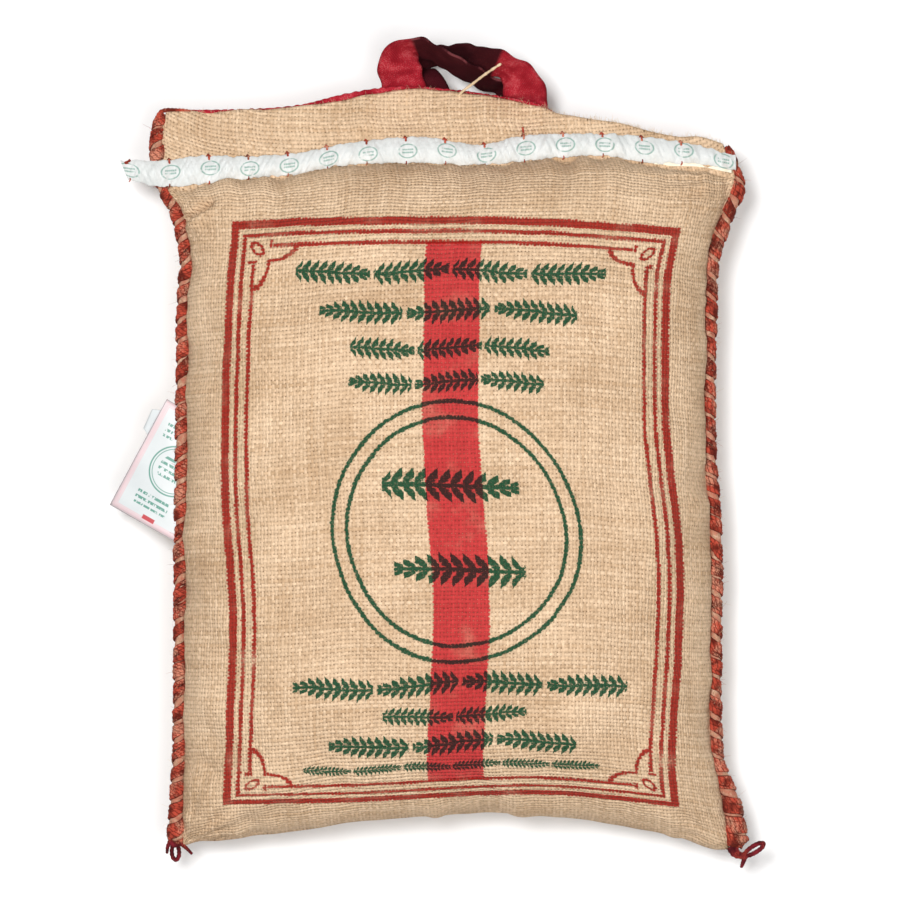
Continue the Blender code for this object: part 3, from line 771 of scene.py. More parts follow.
def spun(points, radius, twist, sides=10, closed=False):
    """Rings of a yarn of two plies along a path. The plies turn once in each twist length."""
    side, top = path_frames(points, closed)
    angle = np.arange(sides) * TURN / sides
    turn = angle + TURN * distances(points)[:, None] / twist
    bulge = np.broadcast_to(radius, len(points))[:, None] * (0.76 + 0.24 * np.abs(np.cos(turn)))
    return rings_round(points, side, top, angle, bulge, bulge)


PLY_TWIST = 0.0045
YARN_STEP = 0.0008
YARN_TWIST = 0.0052
YARN_COUNT = 5
YARN_SPREAD = 0.87
YARN_WIDE = 0.00102
YARN_TALL = 0.00088
USUAL_RADIUS = 0.0034
CORD_SIDES = 24
YARN_SIDES = 10
# How much slimmer each cord is above the tape
SLIMMER = {LEFT: 0.22, RIGHT: 0.45}


def seam_path(side):
    start, end = FOOT[side] + 0.001, TOP[side] - 0.001
    y = np.linspace(start, end, int((end - start) / YARN_STEP) + 1)
    x, radius = seam(side, y)
    return np.stack([x, y, seam_height(side, y)], axis=-1), radius


def make_seam_cord(name, side):
    """The rolled side edge and the yarns wound over it side by side."""
    centre, radius = seam_path(side)
    y, travelled = centre[:, 1], distances(centre)
    radius = radius * (1.24 - SLIMMER[side] * ease(y, 0.195, 0.207) + 0.10 * ripple(y, 0.030, 88 + side))
    across, top = path_frames(centre)
    phase = side * TURN * travelled / WRAP_PITCH + 0.80 * ripple(travelled, 0.045, 90 + side)
    ends = ease(travelled, 0, 0.004) * ease(travelled[-1] - travelled, 0, 0.004)
    angle = np.arange(CORD_SIDES) * TURN / CORD_SIDES
    swell = 0.10 * np.cos(angle - phase[:, None] - side * 0.2)
    rough = 0.035 * ripple(travelled[:, None] + 0.004 * angle, 0.006, 93 + side)
    reach = radius[:, None] * (0.72 - swell + rough) * mix(0.35, 1.0, ends)[:, None]
    pieces = [skin(name + "_roll", rings_round(centre, across, top, angle, reach, reach))]
    spread = YARN_SPREAD * (1 + 0.24 * ripple(travelled, 0.034, 95 + side))
    around = np.arange(YARN_SIDES) * TURN / YARN_SIDES
    for number in range(YARN_COUNT):
        wander = 0.30 * ripple(travelled, 0.014, 101 + 7 * number + side)
        turn = phase + side * (number - YARN_COUNT // 2) * spread + wander
        out = across * np.cos(turn)[:, None] + top * np.sin(turn)[:, None]
        thick = 1.0 + 0.20 * ripple(travelled, 0.009, 131 + 5 * number + side)
        middle = centre + out * (radius * 0.88 * mix(0.5, 1.0, ends))[:, None]
        beside = unit(np.cross(unit(np.gradient(middle, axis=0)), out))
        turns = distances(middle)[:, None] / YARN_TWIST
        ply = 1 + 0.16 * np.cos(2 * (around + TURN * turns))
        wide = YARN_WIDE * (thick * (radius / USUAL_RADIUS) ** 0.5)[:, None] * ply
        rings = rings_round(middle, beside, out, around, wide, YARN_TALL * thick[:, None] * ply)
        yarn = skin(f"{name}_yarn_{number + 1}", rings)
        outer = np.minimum(around, TURN - around) / TURN + turns
        across_yarn = np.broadcast_to(np.cos(around), outer.shape)
        set_uv(yarn, "yarn", np.stack([across_yarn, outer], axis=-1).reshape(-1, 2))
        pieces.append(yarn)
    return pieces


CORD_LIFT = 0.0034
TAPE_START = -0.1925
TAPE_END = 0.1725
TAPE_GRID = (460, 17)
TAPE_THICKNESS = 0.00035
LINING_END = 0.1700
LINING_GRID = (60, 7)
LINING_THICKNESS = 0.00030
LINING_UNDER_TAPE = 0.0012
STITCH_COUNT = 15
STITCH_FIRST = -0.1905
STITCH_PITCH = 0.0236
# How far a stitch reaches above the tape, one of them further
STITCH_ABOVE = 0.0013
LONG_STITCH = 10
LONG_STITCH_ABOVE = 0.0056
# Parts of a stitch: points along it, radius, twist length, sides
STITCH_YARN = (20, 0.00068, 0.004, 10)
STITCH_CROSS = (12, 0.00042, 0.003, 8)
STITCH_FOOT = (12, 0.00040, 0.003, 8)


def over_cords(x):
    """Lift of what lies over the seam cords."""
    return CORD_LIFT * np.maximum(1 - ease(x, -0.170, -0.162), ease(x, 0.164, 0.170))


def tape_place(x, share):
    """Point on the tape: share is 1 at its upper edge and -1 at its lower edge."""
    values = through(TAPE_LINE, x)
    middle, half = values[..., 0], values[..., 1]
    to_stitch = np.abs((x - STITCH_FIRST) / STITCH_PITCH - np.round((x - STITCH_FIRST) / STITCH_PITCH))
    pinch = np.exp(-(to_stitch * STITCH_PITCH / 0.0022) ** 2)
    upper_edge = half * (1 - 0.05 * pinch) + 0.0004 * ripple(x, 0.010, 141) + 0.0002 * ripple(x, 0.003, 142)
    lower_edge = half * (1 - 0.03 * pinch) + 0.0005 * ripple(x, 0.012, 143) + 0.0003 * ripple(x, 0.004, 144)
    lower_edge += 0.0012 * (ease(x, -0.094, -0.091) - ease(x, -0.0895, -0.0870))
    lower_edge += 0.0013 * (ease(x, -0.143, -0.140) - ease(x, -0.134, -0.126))
    y = middle + share * np.where(share > 0, upper_edge, lower_edge)
    slant = (-0.0010 - 0.0024 * share) * (1 - ease(x, TAPE_START, TAPE_START + 0.018))
    folds = np.abs(ripple(x + 0.45 * (y - middle), 0.0085, 145)) \
        + 0.7 * np.abs(ripple(x - 0.6 * (y - middle), 0.0060, 146))
    crinkle = 0.0010 * folds * (1 - 0.75 * pinch * ease(share, 0, 1)) * mix(1.0, 0.65, np.abs(share))
    puff = 0.35 + 0.95 * np.sin(np.pi * to_stitch)
    swell = 0.0022 * (1 - share ** 2) * puff * (1 + 0.35 * ripple(x, 0.017, 147))
    z = flap_top(y) + 0.0006 + over_cords(x) + crinkle + swell
    return np.stack([x + slant, y, z], axis=-1)


def strip_grid(start, end, low, count):
    """Places along a strip and shares across it, from low to 1."""
    return np.meshgrid(np.linspace(start, end, count[0]), np.linspace(low, 1, count[1]), indexing="xy")


def make_tape():
    x, share = strip_grid(TAPE_START, TAPE_END, -1, TAPE_GRID)
    upper = tape_place(x, share)
    item = thin_sheet("tape_strip", upper, TAPE_THICKNESS)
    set_sheet_uv(item, "tape", np.stack([x, upper[..., 1] - through(TAPE_LINE, x)[..., 0]], axis=-1))
    return item


def make_lining():
    """The strip that shows below the tape near its right end."""
    x, share = strip_grid(LINING_START, LINING_END, 0, LINING_GRID)
    values = through(TAPE_LINE, x)
    edge = values[..., 0] - values[..., 1]
    wide = np.maximum(0.0006, LINING_SHOWN * ease(x, LINING_START, LINING_START + LINING_TAPER))
    y = edge + LINING_UNDER_TAPE - (wide + LINING_UNDER_TAPE) * (1 - share)
    z = flap_top(y) + 0.00055 + over_cords(x) + 0.0002 * ripple(x + y, 0.012, 151)
    return thin_sheet("lining_strip", np.stack([x, y, z], axis=-1), LINING_THICKNESS)


def smooth_path(stops, steps):
    rows = np.array([(i, *stop) for i, stop in enumerate(stops)], float)
    return through(rows, np.linspace(0, len(stops) - 1, steps))


# Stops of the cross yarn and the foot, from the tape's upper and lower edge: across, up, rise
CROSS_STOPS = ((-0.0013, 0.0001), (-0.0005, 0.0008), (0.0006, 0.0006), (0.0013, -0.0001))
FOOT_STOPS = ((0.0006, 0.0012, 0.0002), (0.0007, 0.0003, 0.0008),
              (0.0004, -0.0005, 0.0004), (0.0, -0.0009, -0.0004))


def make_stitches():
    """Red yarn over the tape's upper edge, a short yarn across it and a small stitch at the lower edge."""
    groups = []
    for i in range(STITCH_COUNT):
        x = STITCH_FIRST + STITCH_PITCH * i
        at = np.array(x)
        high = tape_place(at, np.array(1.0))
        inner = tape_place(at + 0.0003, np.array(0.84))
        low = tape_place(at, np.array(-1.0))
        above = LONG_STITCH_ABOVE if i == LONG_STITCH else STITCH_ABOVE
        base = flap_top(high[1] + above)
        over = ((x - 0.0004, high[1] + above, base + 0.0002), (x, high[1] + above * 0.5, base + 0.0014),
                (x + 0.0002, high[1] + 0.0003, high[2] + 0.0012), (*inner[:2], inner[2] + 0.0005),
                (x + 0.0004, inner[1] - 0.0006, inner[2] - 0.0002))
        cross = [(x + along, high[1] + up, flap_top(high[1]) + up + 0.0004) for along, up in CROSS_STOPS]
        foot = [(x + along, low[1] + up, low[2] + rise) for along, up, rise in FOOT_STOPS]
        parts = (("yarn", over, STITCH_YARN), ("cross", cross, STITCH_CROSS), ("foot", foot, STITCH_FOOT))
        groups.append([skin(f"tape_stitch_{i + 1:02d}_{part}", spun(smooth_path(stops, steps), *build_as))
                       for part, stops, (steps, *build_as) in parts])
    return groups


# How far the band stands past the cloth's top edge: distance from the middle, height
BAND_PROUD = (
    (-0.166, 0.0001), (-0.09, 0.0006), (-0.0645, 0.0028), (-0.0405, 0.0028), (-0.02, 0.001),
    (0.0555, 0.0008), (0.07, -0.0012), (0.16, -0.0014),
)
BAND_START = -0.1660
BAND_END = 0.1600
BAND_GRID = (330, 9)
BAND_WIDTH = 0.0120
BAND_THICKNESS = 0.0010


def make_band():
    x, share = strip_grid(BAND_START, BAND_END, 0, BAND_GRID)
    high = top_line(x) + through(BAND_PROUD, x)[..., 0] + 0.0012 + 0.0003 * ripple(x, 0.006, 161)
    y = high - BAND_WIDTH * (1 - share)
    z = flap_height(y) - SEAM_THICKNESS / 2 - 0.0003 + 0.0016 * ease(share, 0.80, 1.0)
    item = thin_sheet("band_strip", np.stack([x, y, z], axis=-1), BAND_THICKNESS, 0.0003)
    set_sheet_uv(item, "cloth", np.stack([y - high, x], axis=-1))
    return item


STRAP_WIDTH = 0.026
STRAP_THICKNESS = 0.0018
STRAP_GRID = (150, 17)
# Stations along each strap: its middle, and the way from there to its inner edge
FRONT_HANDLE = (
    ((-0.0261, 0.244, 0.0432), (1.0, 0.03, 0.0)), ((-0.0261, 0.2575, 0.0405), (1.0, 0.05, 0.0)),
    ((-0.0285, 0.266, 0.045), (0.97, 0.1, -0.15)), ((-0.0288, 0.2735, 0.0535), (0.85, 0.0, -0.5)),
    ((-0.024, 0.2795, 0.0585), (0.45, -0.25, -0.85)), ((-0.0175, 0.28, 0.058), (0.1, -0.3, -0.95)),
    ((-0.009, 0.2775, 0.055), (0.0, -0.3, -0.95)), ((-0.0015, 0.274, 0.0515), (-0.05, -0.28, -0.95)),
    ((0.0075, 0.2692, 0.0465), (-0.15, -0.25, -0.95)), ((0.0157, 0.265, 0.0395), (-0.25, -0.2, -0.95)),
    ((0.024, 0.2615, 0.032), (-0.3, -0.15, -0.93)), ((0.0345, 0.2585, 0.03), (-0.4, -0.15, -0.88)),
    ((0.044, 0.2535, 0.033), (-0.85, -0.2, -0.42)), ((0.0475, 0.246, 0.0375), (-1.0, -0.05, 0.0)),
    ((0.0475, 0.235, 0.0402), (-1.0, 0.0, 0.0)),
)
BACK_HANDLE = (
    ((-0.01, 0.243, 0.0406), (0.97, 0.2, 0.0)), ((-0.011, 0.2526, 0.0382), (0.93, 0.35, 0.0)),
    ((-0.0177, 0.2624, 0.0345), (0.87, 0.45, -0.15)), ((-0.0215, 0.2696, 0.029), (0.7, 0.1, -0.65)),
    ((-0.0165, 0.2745, 0.028), (0.25, -0.3, -0.9)), ((-0.005, 0.2775, 0.033), (-0.05, -0.3, -0.95)),
    ((0.0045, 0.2782, 0.042), (-0.05, -0.3, -0.95)), ((0.015, 0.2758, 0.0525), (-0.1, -0.33, -0.93)),
    ((0.0255, 0.2724, 0.0595), (-0.15, -0.4, -0.9)), ((0.0387, 0.2658, 0.0585), (-0.42, -0.35, -0.8)),
    ((0.0459, 0.2562, 0.0505), (-0.88, -0.2, -0.35)), ((0.0471, 0.2495, 0.0421), (-1.0, 0.0, 0.0)),
    ((0.0471, 0.236, 0.0448), (-1.0, 0.0, 0.0)),
)


def make_handle(name, stations, seed):
    """A webbing loop. Each station gives the middle of the strap and the way to its inner edge."""
    places, ways = (np.array(values) for values in zip(*stations))
    reach = distances(places)
    travelled = np.linspace(0, reach[-1], STRAP_GRID[0])
    values = through(np.column_stack([reach, places, ways]), travelled)
    middle, way = values[:, :3], unit(values[:, 3:])
    face = unit(np.cross(way, unit(np.gradient(middle, axis=0))))
    share = np.linspace(-1, 1, STRAP_GRID[1])
    s, t = np.meshgrid(travelled, share, indexing="ij")
    arch = ease(travelled, 0.02, 0.05) * ease(reach[-1] - travelled, 0.02, 0.05)
    wide = STRAP_WIDTH * (0.50 + 0.03 * arch) + 0.0003 * ripple(travelled, 0.020, seed)
    wave = 0.0007 * ripple(s + 0.004 * t, 0.018, seed + 1) * t ** 2 + 0.0007 * ripple(s, 0.030, seed + 2)
    wave *= ease(s, 0, 0.02) * ease(reach[-1] - s, 0, 0.02)
    grid = middle[:, None] + way[:, None] * (wide[:, None] * t)[..., None] + face[:, None] * wave[..., None]
    hem = 1 - 0.25 * ease(np.abs(share), 0.84, 1.0)
    shift = face[:, None] * (STRAP_THICKNESS / 2 * hem)[None, :, None]
    item = closed_sheet(name, grid + shift, grid - shift, 0.0004)
    set_sheet_uv(item, "cloth", np.stack([t * STRAP_WIDTH / 2, s], axis=-1))
    return item


# Plan corners of the label's leaves: upper, outer, lower, inner
LABEL_CORNERS = ((-0.1684, 0.0696), (-0.2037, 0.0060), (-0.1600, -0.0178), (-0.1600, 0.0645))
LEAF_CORNERS = ((-0.1775, 0.0636), (-0.1830, 0.0522), (-0.1600, 0.0190), (-0.1600, 0.0620))
LABEL_DROP = 0.012


def make_leaf(name, corners, below, seed):
    """A paper leaf that droops away from the seam."""
    upper, outer, lower, inner = (np.array(corner) for corner in corners)
    away, down = np.meshgrid(np.linspace(0, 1, 22), np.linspace(0, 1, 30), indexing="ij")
    a, d = away[..., None], down[..., None]
    plan = mix(mix(inner, lower, d), mix(upper, outer, d), a)
    reach = np.maximum(0.0, (-0.1638 - plan[..., 0]) / 0.04)
    curl = 0.0010 * ripple(plan[..., 1] + plan[..., 0], 0.05, seed) * np.minimum(reach, 1)
    z = SEAM_HEIGHT - below - LABEL_DROP * reach ** 1.6 + curl
    return thin_sheet(name, np.concatenate([plan, z[..., None]], axis=-1), 0.0004)


def make_loop(middle, way, length, width, radius):
    """Rings of a closed yarn."""
    way = unit(np.array(way, float))
    side = unit(np.cross(way, np.array([0.0, 0.0, 1.0])))
    angle = np.linspace(0, TURN, 49)[:-1]
    path = middle + way * (np.cos(angle) * length / 2)[:, None] + side * (np.sin(angle) * width / 2)[:, None]
    path[:, 2] += 0.0006 * np.sin(2 * angle)
    return spun(path, radius, PLY_TWIST, closed=True)


# Yarn at the foot corners, with heights from the seam's: side, solid, piece, radius, share of it at
# the tip, stops. A loop has no tip, and its middle, the way it points and its size for stops
YARN_ENDS = (
    (LEFT, "left_yarn_loop", "left_loop_yarn", 0.0014, None,
     ((-0.164, -0.2032, -0.001), (0.05, -1.0, 0.0), 0.0096, 0.0044)),
    (LEFT, "left_yarn_loop", "left_knot_yarn", 0.0019, 0.8,
     ((-0.1672, -0.1958, 0.002), (-0.165, -0.1985, 0.003), (-0.1612, -0.199, 0.001))),
    (LEFT, "left_yarn_end", "left_end_yarn", 0.0016, 0.6,
     ((-0.166, -0.1955, 0.002), (-0.1684, -0.1995, 0.001), (-0.1692, -0.204, -0.003))),
    (LEFT, "left_yarn_tail", "left_tail_yarn", 0.0015, 0.6,
     ((-0.1625, -0.1965, 0.002), (-0.1575, -0.2008, 0.0), (-0.1544, -0.2046, -0.004))),
    (RIGHT, "right_yarn_knot", "right_knot_yarn", 0.0026, 0.8,
     ((0.17, -0.2, 0.002), (0.1728, -0.204, 0.002), (0.1768, -0.2052, 0.002), (0.18, -0.2046, 0.001))),
    (RIGHT, "right_yarn_knot", "right_knot_turn", 0.0017, 0.9,
     ((0.1732, -0.199, 0.001), (0.1746, -0.203, 0.004), (0.179, -0.2062, 0.002), (0.1804, -0.205, 0.0))),
    (RIGHT, "right_yarn_loop", "right_loop_yarn", 0.0015, None,
     ((0.1846, -0.2016, 0.001), (1.0, 0.62, 0.0), 0.0132, 0.004)),
    (RIGHT, "right_yarn_tail", "right_tail_yarn", 0.0018, 0.6,
     ((0.1796, -0.205, 0.001), (0.1784, -0.2096, -0.003), (0.1776, -0.2128, -0.006))),
)


def make_yarn_ends():
    """Loops, knots and tails at the two foot corners, each with the name of its solid."""
    made = []
    for side, node, name, radius, tip, stops in YARN_ENDS:
        foot = np.array([0.0, 0.0, seam_height(side, np.array(FOOT[side]))])
        if tip is None:
            middle, *rest = stops
            rings = make_loop(foot + middle, *rest, radius)
        else:
            path = smooth_path(foot + stops, 8 * (len(stops) - 1) + 1)
            rings = spun(path, radius * np.linspace(1.0, tip, len(path)), PLY_TWIST)
        made.append((node, skin(name, rings, closed=tip is None)))
    return made


HAIR_STATIONS = 6
HAIR_ANGLES = (0.0, 2.094, 4.189)


def hairs(name, radius, seed, roots, ways, lengths):
    """Loose fibres as thin tapered tubes, each one bending as it goes."""
    rng = np.random.default_rng(seed)
    share = np.linspace(0, 1, HAIR_STATIONS)
    points, faces = [], []
    for root, way, length in zip(roots, ways, lengths):
        bend = unit(rng.normal(size=3))
        path = root + way * (share * length)[:, None] \
            + bend * (share ** 2 * length * rng.uniform(0.1, 0.6))[:, None]
        side, top = path_frames(path)
        start = len(points)
        for k in range(HAIR_STATIONS):
            thin = radius * (1 - 0.75 * share[k])
            points += [path[k] + (side[k] * math.cos(angle) + top[k] * math.sin(angle)) * thin
                       for angle in HAIR_ANGLES]
        for a in range(start, start + 3 * (HAIR_STATIONS - 1), 3):
            faces += [(a + i, a + (i + 1) % 3, a + 3 + (i + 1) % 3, a + 3 + i) for i in range(3)]
        last = start + 3 * (HAIR_STATIONS - 1)
        faces += [(start + 2, start + 1, start), (last, last + 1, last + 2)]
    return new_object(name, points, faces)


def cord_hairs(side, count, seed):
    """Fuzz standing off a seam cord."""
    rng = np.random.default_rng(seed)
    start, end = FOOT[side] + 0.004, TOP[side] - 0.004
    y = rng.uniform(start, end, count)
    x, radius = seam(side, y)
    angle = rng.uniform(0, np.pi, count)
    out = np.stack([np.cos(angle), np.zeros(count), np.sin(angle)], axis=-1)
    roots = np.stack([x, y, seam_height(side, y)], axis=-1) + out * (radius * 0.85)[:, None]
    ways = unit(out + rng.normal(0, 0.7, (count, 3)))
    return roots, ways, rng.uniform(0.0015, 0.0055, count)


def edge_hairs(count, start, end, seed):
    """Frayed fibres along the top edge of the cloth."""
    rng = np.random.default_rng(seed)
    x = rng.uniform(start, end, count)
    y = top_line(x)
    roots = np.stack([x, y, flap_height(y) + rng.uniform(-0.001, 0.001, count)], axis=-1)
    ways = unit(np.stack([rng.normal(0, 0.7, count), np.ones(count), rng.normal(0, 0.4, count)], axis=-1))
    return roots, ways, rng.uniform(0.001, 0.004, count)


TWINE_STOPS = ((0.0060, 0.2515, 0.0475), (0.0095, 0.2550, 0.0500), (0.0155, 0.2590, 0.0560),
               (0.0215, 0.2630, 0.0625), (0.0270, 0.2662, 0.0690), (0.0318, 0.2690, 0.0725))
CURL_STOPS = ((-0.1742, 0.2385), (-0.1724, 0.2420), (-0.1690, 0.2434),
              (-0.1640, 0.2435), (-0.1590, 0.2434), (-0.1545, 0.2430))


def make_twine():
    """The loose end of jute yarn that lies over the gap onto the front handle."""
    radii = 0.0009 * (1 + 0.15 * ripple(np.linspace(0, 1, 60), 0.15, 171)) * np.linspace(1.05, 0.9, 60)
    return skin("jute_end_yarn", spun(smooth_path(TWINE_STOPS, 60), radii, 0.006))


def make_corner_curl():
    """The last turn of the left cord's yarn, which runs over onto the flap's top edge."""
    path = smooth_path([(x, y, flap_height(y) + 0.0022) for x, y in CURL_STOPS], 60)
    return skin("left_corner_yarn", spun(path, np.linspace(0.0017, 0.0007, 60), PLY_TWIST))


YARN_SHADOW = (0.075, 0.008, 0.005)
RED_YARN = (0.460, 0.064, 0.036)
RED_TONES = ((0.125, 0.015, 0.008), RED_YARN, (0.70, 0.34, 0.22))
END_TONES = ((0.070, 0.006, 0.009), (0.190, 0.014, 0.022), RED_YARN)


def yarn_material(name, tones, wound=False):
    """Plied red yarn. Yarn wound on a cord also gets painted shade in the grooves between its plies and along
    its sides.
    """
    graph = Graph(name)
    x, y, z = graph.place()
    fine = graph.grain(1800, 700)
    colour = graph.mix(graph.step(graph.grain(160), 0.35, 0.62), tones[0], tones[1])
    patch = graph.noise(x * 90, y * 90, z * 90 + 4.0, detail=1.0)
    colour = graph.mix(graph.step(patch * 0.6 + fine * 0.4, 0.49, 0.64) * 0.60, colour, tones[2])
    colour = graph.shade(colour, 0.70 + 0.6 * fine)
    if wound:
        across, turns = graph.uv("yarn")
        # Painted shade in the grooves between plies and along the yarn's sides
        groove_shade = graph.step(abs(graph.fract(turns * 2.0) - 0.5), 0.20, 0.04)
        beside = graph.step(abs(across), 0.62, 0.95)
        colour = graph.mix(graph.high(groove_shade * 0.75, beside * 0.85), colour, YARN_SHADOW)
    return graph.finish(colour, 0.9, fine, 0.0005)


def stained_material():
    """The rolled jute edge with dye from the red yarn in it."""
    graph = Graph("rolled_edge_look")
    slow, fine = graph.grain(260, detail=3.0), graph.grain(1500, 900)
    colour = graph.mix(graph.step(fine, 0.35, 0.65), (0.40, 0.22, 0.13), (0.68, 0.45, 0.32))
    colour = graph.mix(graph.step(slow * 0.6 + fine * 0.4, 0.40, 0.56) * 0.72, colour, (0.42, 0.10, 0.060))
    return graph.finish(colour, 0.9, fine, 0.0006)


def loose_jute_material():
    """Jute yarn seen close, without a weave."""
    graph = Graph("loose_jute_look")
    fine = graph.grain(1500, 900)
    share = graph.step(graph.grain(120) * 0.5 + fine * 0.5, 0.35, 0.65)
    return graph.finish(graph.mix(share, (0.62, 0.44, 0.26), (0.85, 0.68, 0.47)), 0.9, fine, 0.0004)


def webbing_material(name, painted_shade=None, painted_highlight_share=0.0):
    """Dark red webbing. Over the given stretch along the strap, in metres, the colour is painted near-black
    shade, with painted shade along the rims and, by the given share, a painted highlight along one edge.
    """
    graph = Graph(name)
    u, v = graph.uv("cloth")
    rib, pick = graph.fract(u / 0.0011), graph.fract(v / 0.0013 + graph.floor(u / 0.0011) * 0.5)
    height = (1.0 - abs(rib * 2.0 - 1.0)) * 0.6 + (1.0 - abs(pick * 2.0 - 1.0)) * 0.6
    slow = graph.noise(u * 110, v * 110, 2.0, detail=4.0)
    fine = graph.noise(u * 900, v * 900, 4.0)
    colour = graph.mix(graph.step(slow, 0.30, 0.70), (0.360, 0.010, 0.022), (0.620, 0.030, 0.050))
    colour = graph.mix(graph.step(slow * 0.5 + fine * 0.5, 0.50, 0.63) * 0.45, colour, (0.80, 0.17, 0.19))
    # Painted shade: the colour darkens where the weave lies low
    colour = graph.shade(colour, 0.66 + 0.34 * height)
    if painted_shade:
        middle, half = (painted_shade[0] + painted_shade[1]) / 2, (painted_shade[1] - painted_shade[0]) / 2
        # Painted shade: over this stretch the near-black colour stands in for the shade the strap lies in
        inside = graph.step(abs(v - middle), half + 0.0012, half - 0.0012)
        colour = graph.mix(inside * 0.93, colour, (0.030, 0.003, 0.006))
        # Painted highlight: a lit line along the strap's outer edge inside the shaded stretch, weighed by the
        # given share
        hem = graph.step(u, -0.0122, -0.0128) * inside * graph.step(slow, 0.42, 0.58)
        colour = graph.mix(hem * painted_highlight_share, colour, (0.40, 0.10, 0.11))
        # Painted shade along both rims of the strap
        colour = graph.shade(colour, 0.55 + 0.45 * graph.step(abs(u), 0.0136, 0.0112))
    return graph.finish(colour, 0.9, height + fine * 0.5, 0.0005, 0.12)


MARK_FIRST = -0.1893
MARK_PITCH = 0.02364
MARK_GREEN = (0.13, 0.30, 0.24)


def tape_material():
    """Crinkled tape with an oval mark at each pitch and two bars of dashes in it, in millimetres."""
    graph = Graph("tape_look")
    u, v = graph.uv("tape")
    number = graph.floor((u - MARK_FIRST) / MARK_PITCH + 0.5)
    x = (u - MARK_FIRST - number * MARK_PITCH) * 1000.0
    y = v * 1000.0 + (graph.random(number) - 0.5) * 3.0
    blur = (graph.noise(u * 900, v * 900, 3.0) - 0.5) * 0.7
    oval = abs(graph.length(x / 5.4, y / 4.1) - 1.0) * 4.6 - 0.30
    dashes = abs(graph.fract(x * 0.9) - 0.5) - 0.36
    bars = graph.high(abs(abs(y) - 0.9) - 0.40, abs(x) - 3.2, dashes)
    ink = graph.step(graph.low(oval, bars) + blur * 0.6, 0.35, -0.15)
    ink = ink * graph.step(graph.noise(u * 260, v * 260, 9.0), 0.30, 0.50) * 0.75
    slow = graph.noise(u * 120, v * 120, 1.0, detail=3.0)
    colour = graph.mix(slow, (0.57, 0.595, 0.575), (0.765, 0.77, 0.76))
    wrinkle = graph.noise(u * 420, v * 300, 6.0, detail=3.0)
    return graph.finish(graph.mix(ink, colour, MARK_GREEN), 0.55, wrinkle, 0.0009, 0.35)


def lining_material():
    graph = Graph("lining_look")
    slow = graph.grain(300, detail=3.0)
    colour = graph.mix(slow, (0.80, 0.72, 0.54), (0.90, 0.85, 0.70))
    return graph.finish(colour, 0.6, slow, 0.0003, PLAIN_SPECULAR)


LABEL_PINK = (0.80, 0.42, 0.45)
LABEL_RED = (0.50, 0.06, 0.07)
LABEL_GREEN = (0.03, 0.24, 0.17)
LINE_PITCH = 3.6


def label_material(name, printed):
    """Label paper. Its print is laid out in millimetres down the outer edge and inward from it."""
    graph = Graph(name)
    colour = graph.mix(graph.grain(90, detail=3.0), (0.59, 0.63, 0.635), (0.70, 0.73, 0.735))
    if not printed:
        return graph.finish(colour, 0.5, specular=PLAIN_SPECULAR)
    x, y, _ = graph.place()
    start, end = LABEL_CORNERS[:2]
    length = math.dist(start, end)
    way = ((end[0] - start[0]) / length, (end[1] - start[1]) / length)
    down = ((x - start[0]) * way[0] + (y - start[1]) * way[1]) * 1000.0
    inward = ((y - start[1]) * way[0] - (x - start[0]) * way[1]) * 1000.0
    border = graph.low(inward, down, length * 1000.0 - down)
    band = graph.step(border, 3.4, 2.9) * graph.step(border, 0.5, 0.9)
    tint = graph.noise(x * 700, y * 700)
    colour = graph.mix(band * (0.35 + 0.25 * tint), colour, LABEL_PINK)
    colour = graph.mix(graph.step(abs(border - 3.6) - 0.25, 0.15, -0.15) * 0.55, colour, LABEL_PINK)
    colour = graph.mix(graph.step(border, 0.7, 0.3) * 0.6, colour, (0.42, 0.22, 0.25))
    ring_off = graph.length(down - 36.0, inward - 25.0)
    dash = graph.noise(inward * 0.85, graph.floor(down / LINE_PITCH) * 3.7, down * 0.3, detail=1.0)
    lines = graph.high(abs(graph.fract(down / LINE_PITCH) - 0.5) * LINE_PITCH - 0.85, (0.45 - dash) * 6.0)
    marks = [abs(ring_off - 15.0) - 0.45, abs(ring_off - 13.4) - 0.25]
    marks += [graph.high(lines, *limits) for limits in (
        (ring_off - 10.0, abs(down - 36.0) - 6.5),
        (abs(down - 15.5) - 5.0, abs(inward - 11.5) - 3.5),
        (abs(down - 58.5) - 5.0, abs(inward - 22.0) - 11.0))]
    colour = graph.mix(graph.step(graph.low(*marks), 0.22, -0.22) * 0.85, colour, LABEL_GREEN)
    bar = graph.high(abs(down - 68.6) - 1.3, abs(inward - 25.0) - 4.0)
    colour = graph.mix(graph.step(bar, 0.2, -0.2), colour, LABEL_RED)
    return graph.finish(colour, 0.5, specular=PLAIN_SPECULAR)


def put(item, node, material):
    item.data.materials.append(material)
    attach(item, "root")
    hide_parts(node)


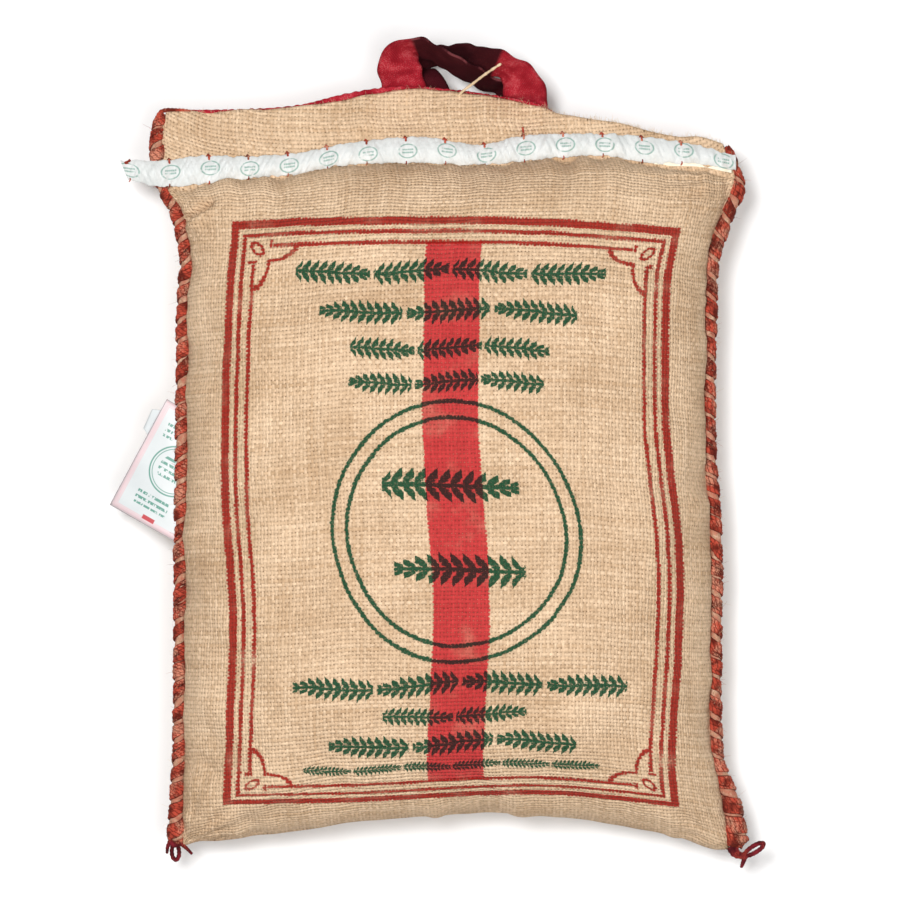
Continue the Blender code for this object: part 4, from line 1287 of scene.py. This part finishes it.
def build():
    rolled, loose_jute = stained_material(), loose_jute_material()
    red = yarn_material("red_yarn_look", RED_TONES)
    wound = yarn_material("wound_yarn_look", RED_TONES, wound=True)
    maroon = yarn_material("yarn_end_look", END_TONES)

    put(make_cloth(), "jute_sack", jute_material())
    for name, side in (("left_seam", LEFT), ("right_seam", RIGHT)):
        node = name + "_cord"
        roll, *yarns = make_seam_cord(name, side)
        put(roll, node, rolled)
        for yarn in yarns:
            put(yarn, node, wound)
        for part, count, seed, material in (("_fuzz", 420, 200, red), ("_jute_fuzz", 260, 220, loose_jute)):
            fuzz = cord_hairs(side, count, seed + side)
            put(hairs(name + part, 0.00011, seed + 10 + side, *fuzz), node, material)
    put(make_tape(), "closing_tape", tape_material())
    put(make_lining(), "tape_lining", lining_material())
    for i, group in enumerate(make_stitches()):
        for piece in group:
            put(piece, f"tape_stitch_{i + 1:02d}", red)
    put(make_band(), "mouth_band", webbing_material("webbing_look"))
    # The stretches given to the straps' looks are painted shade, and the front one also has a painted edge
    # highlight
    put(make_handle("front_handle_strap", FRONT_HANDLE, 181), "front_handle",
        webbing_material("front_webbing_painted_shade_look", (0.049, 0.200), 0.6))
    put(make_handle("back_handle_strap", BACK_HANDLE, 185), "back_handle",
        webbing_material("back_webbing_painted_shade_look", (-0.010, 0.098)))
    put(make_leaf("label_front_leaf", LABEL_CORNERS, 0.0, 191), "label_front",
        label_material("label_look", True))
    put(make_leaf("label_back_leaf", LEAF_CORNERS, 0.0014, 192), "label_back",
        label_material("label_back_look", False))
    for node, piece in make_yarn_ends():
        put(piece, node, maroon)
    put(make_twine(), "jute_sack", loose_jute)
    put(make_corner_curl(), "left_seam_cord", red)
    fibres = zip(edge_hairs(420, 0.056, 0.166, 241), edge_hairs(160, -0.165, 0.056, 242))
    put(hairs("edge_fibres", 0.00012, 243, *map(np.concatenate, fibres)), "jute_sack", loose_jute)


FLOOR_HALF = 6.0
# Area lights: name, place, size, power
LIGHTS = (("key_light", (-0.30, 0.30, 2.2), 0.45, 36.0), ("fill_light", (0.42, -0.34, 2.3), 1.0, 22.0))
LIGHTS_AIM = (0.0, 0.02, 0.06)
SURROUND_STRENGTH = 0.24


def link_new(name, data):
    item = bpy.data.objects.new(name, data)
    bpy.context.collection.objects.link(item)
    return item


def make_stage():
    """A pale floor, two soft lights from above and a pale surround."""
    mesh = bpy.data.meshes.new("floor")
    corners = [(FLOOR_HALF * x, FLOOR_HALF * y, 0) for x, y in ((-1, -1), (1, -1), (1, 1), (-1, 1))]
    mesh.from_pydata(corners, [], [(0, 1, 2, 3)])
    mesh.materials.append(Graph("floor_look").finish((0.93, 0.93, 0.93), 0.9, specular=0.1))
    link_new("floor", mesh)

    world = bpy.data.worlds.new("surround")
    world.use_nodes = True
    background = world.node_tree.nodes["Background"]
    background.inputs[0].default_value = (1.0,) * 4
    background.inputs[1].default_value = SURROUND_STRENGTH
    bpy.context.scene.world = world

    for name, place, size, power in LIGHTS:
        data = bpy.data.lights.new(name, "AREA")
        data.shape = "SQUARE"
        data.size = size
        data.energy = power
        light = link_new(name, data)
        light.location = place
        aim = Vector(LIGHTS_AIM) - Vector(place)
        light.rotation_euler = aim.to_track_quat("-Z", "Y").to_euler()


def make_camera():
    data = bpy.data.cameras.new("camera")
    data.sensor_width = SENSOR
    data.lens = SENSOR / VIEW_SHARE
    data.dof.use_dof = False
    camera = link_new("camera", data)
    camera.location = (*PICTURE_MIDDLE, CAMERA_HEIGHT)
    bpy.context.scene.camera = camera


build()
make_stage()
make_camera()
bpy.context.scene.view_settings.view_transform = "Standard"
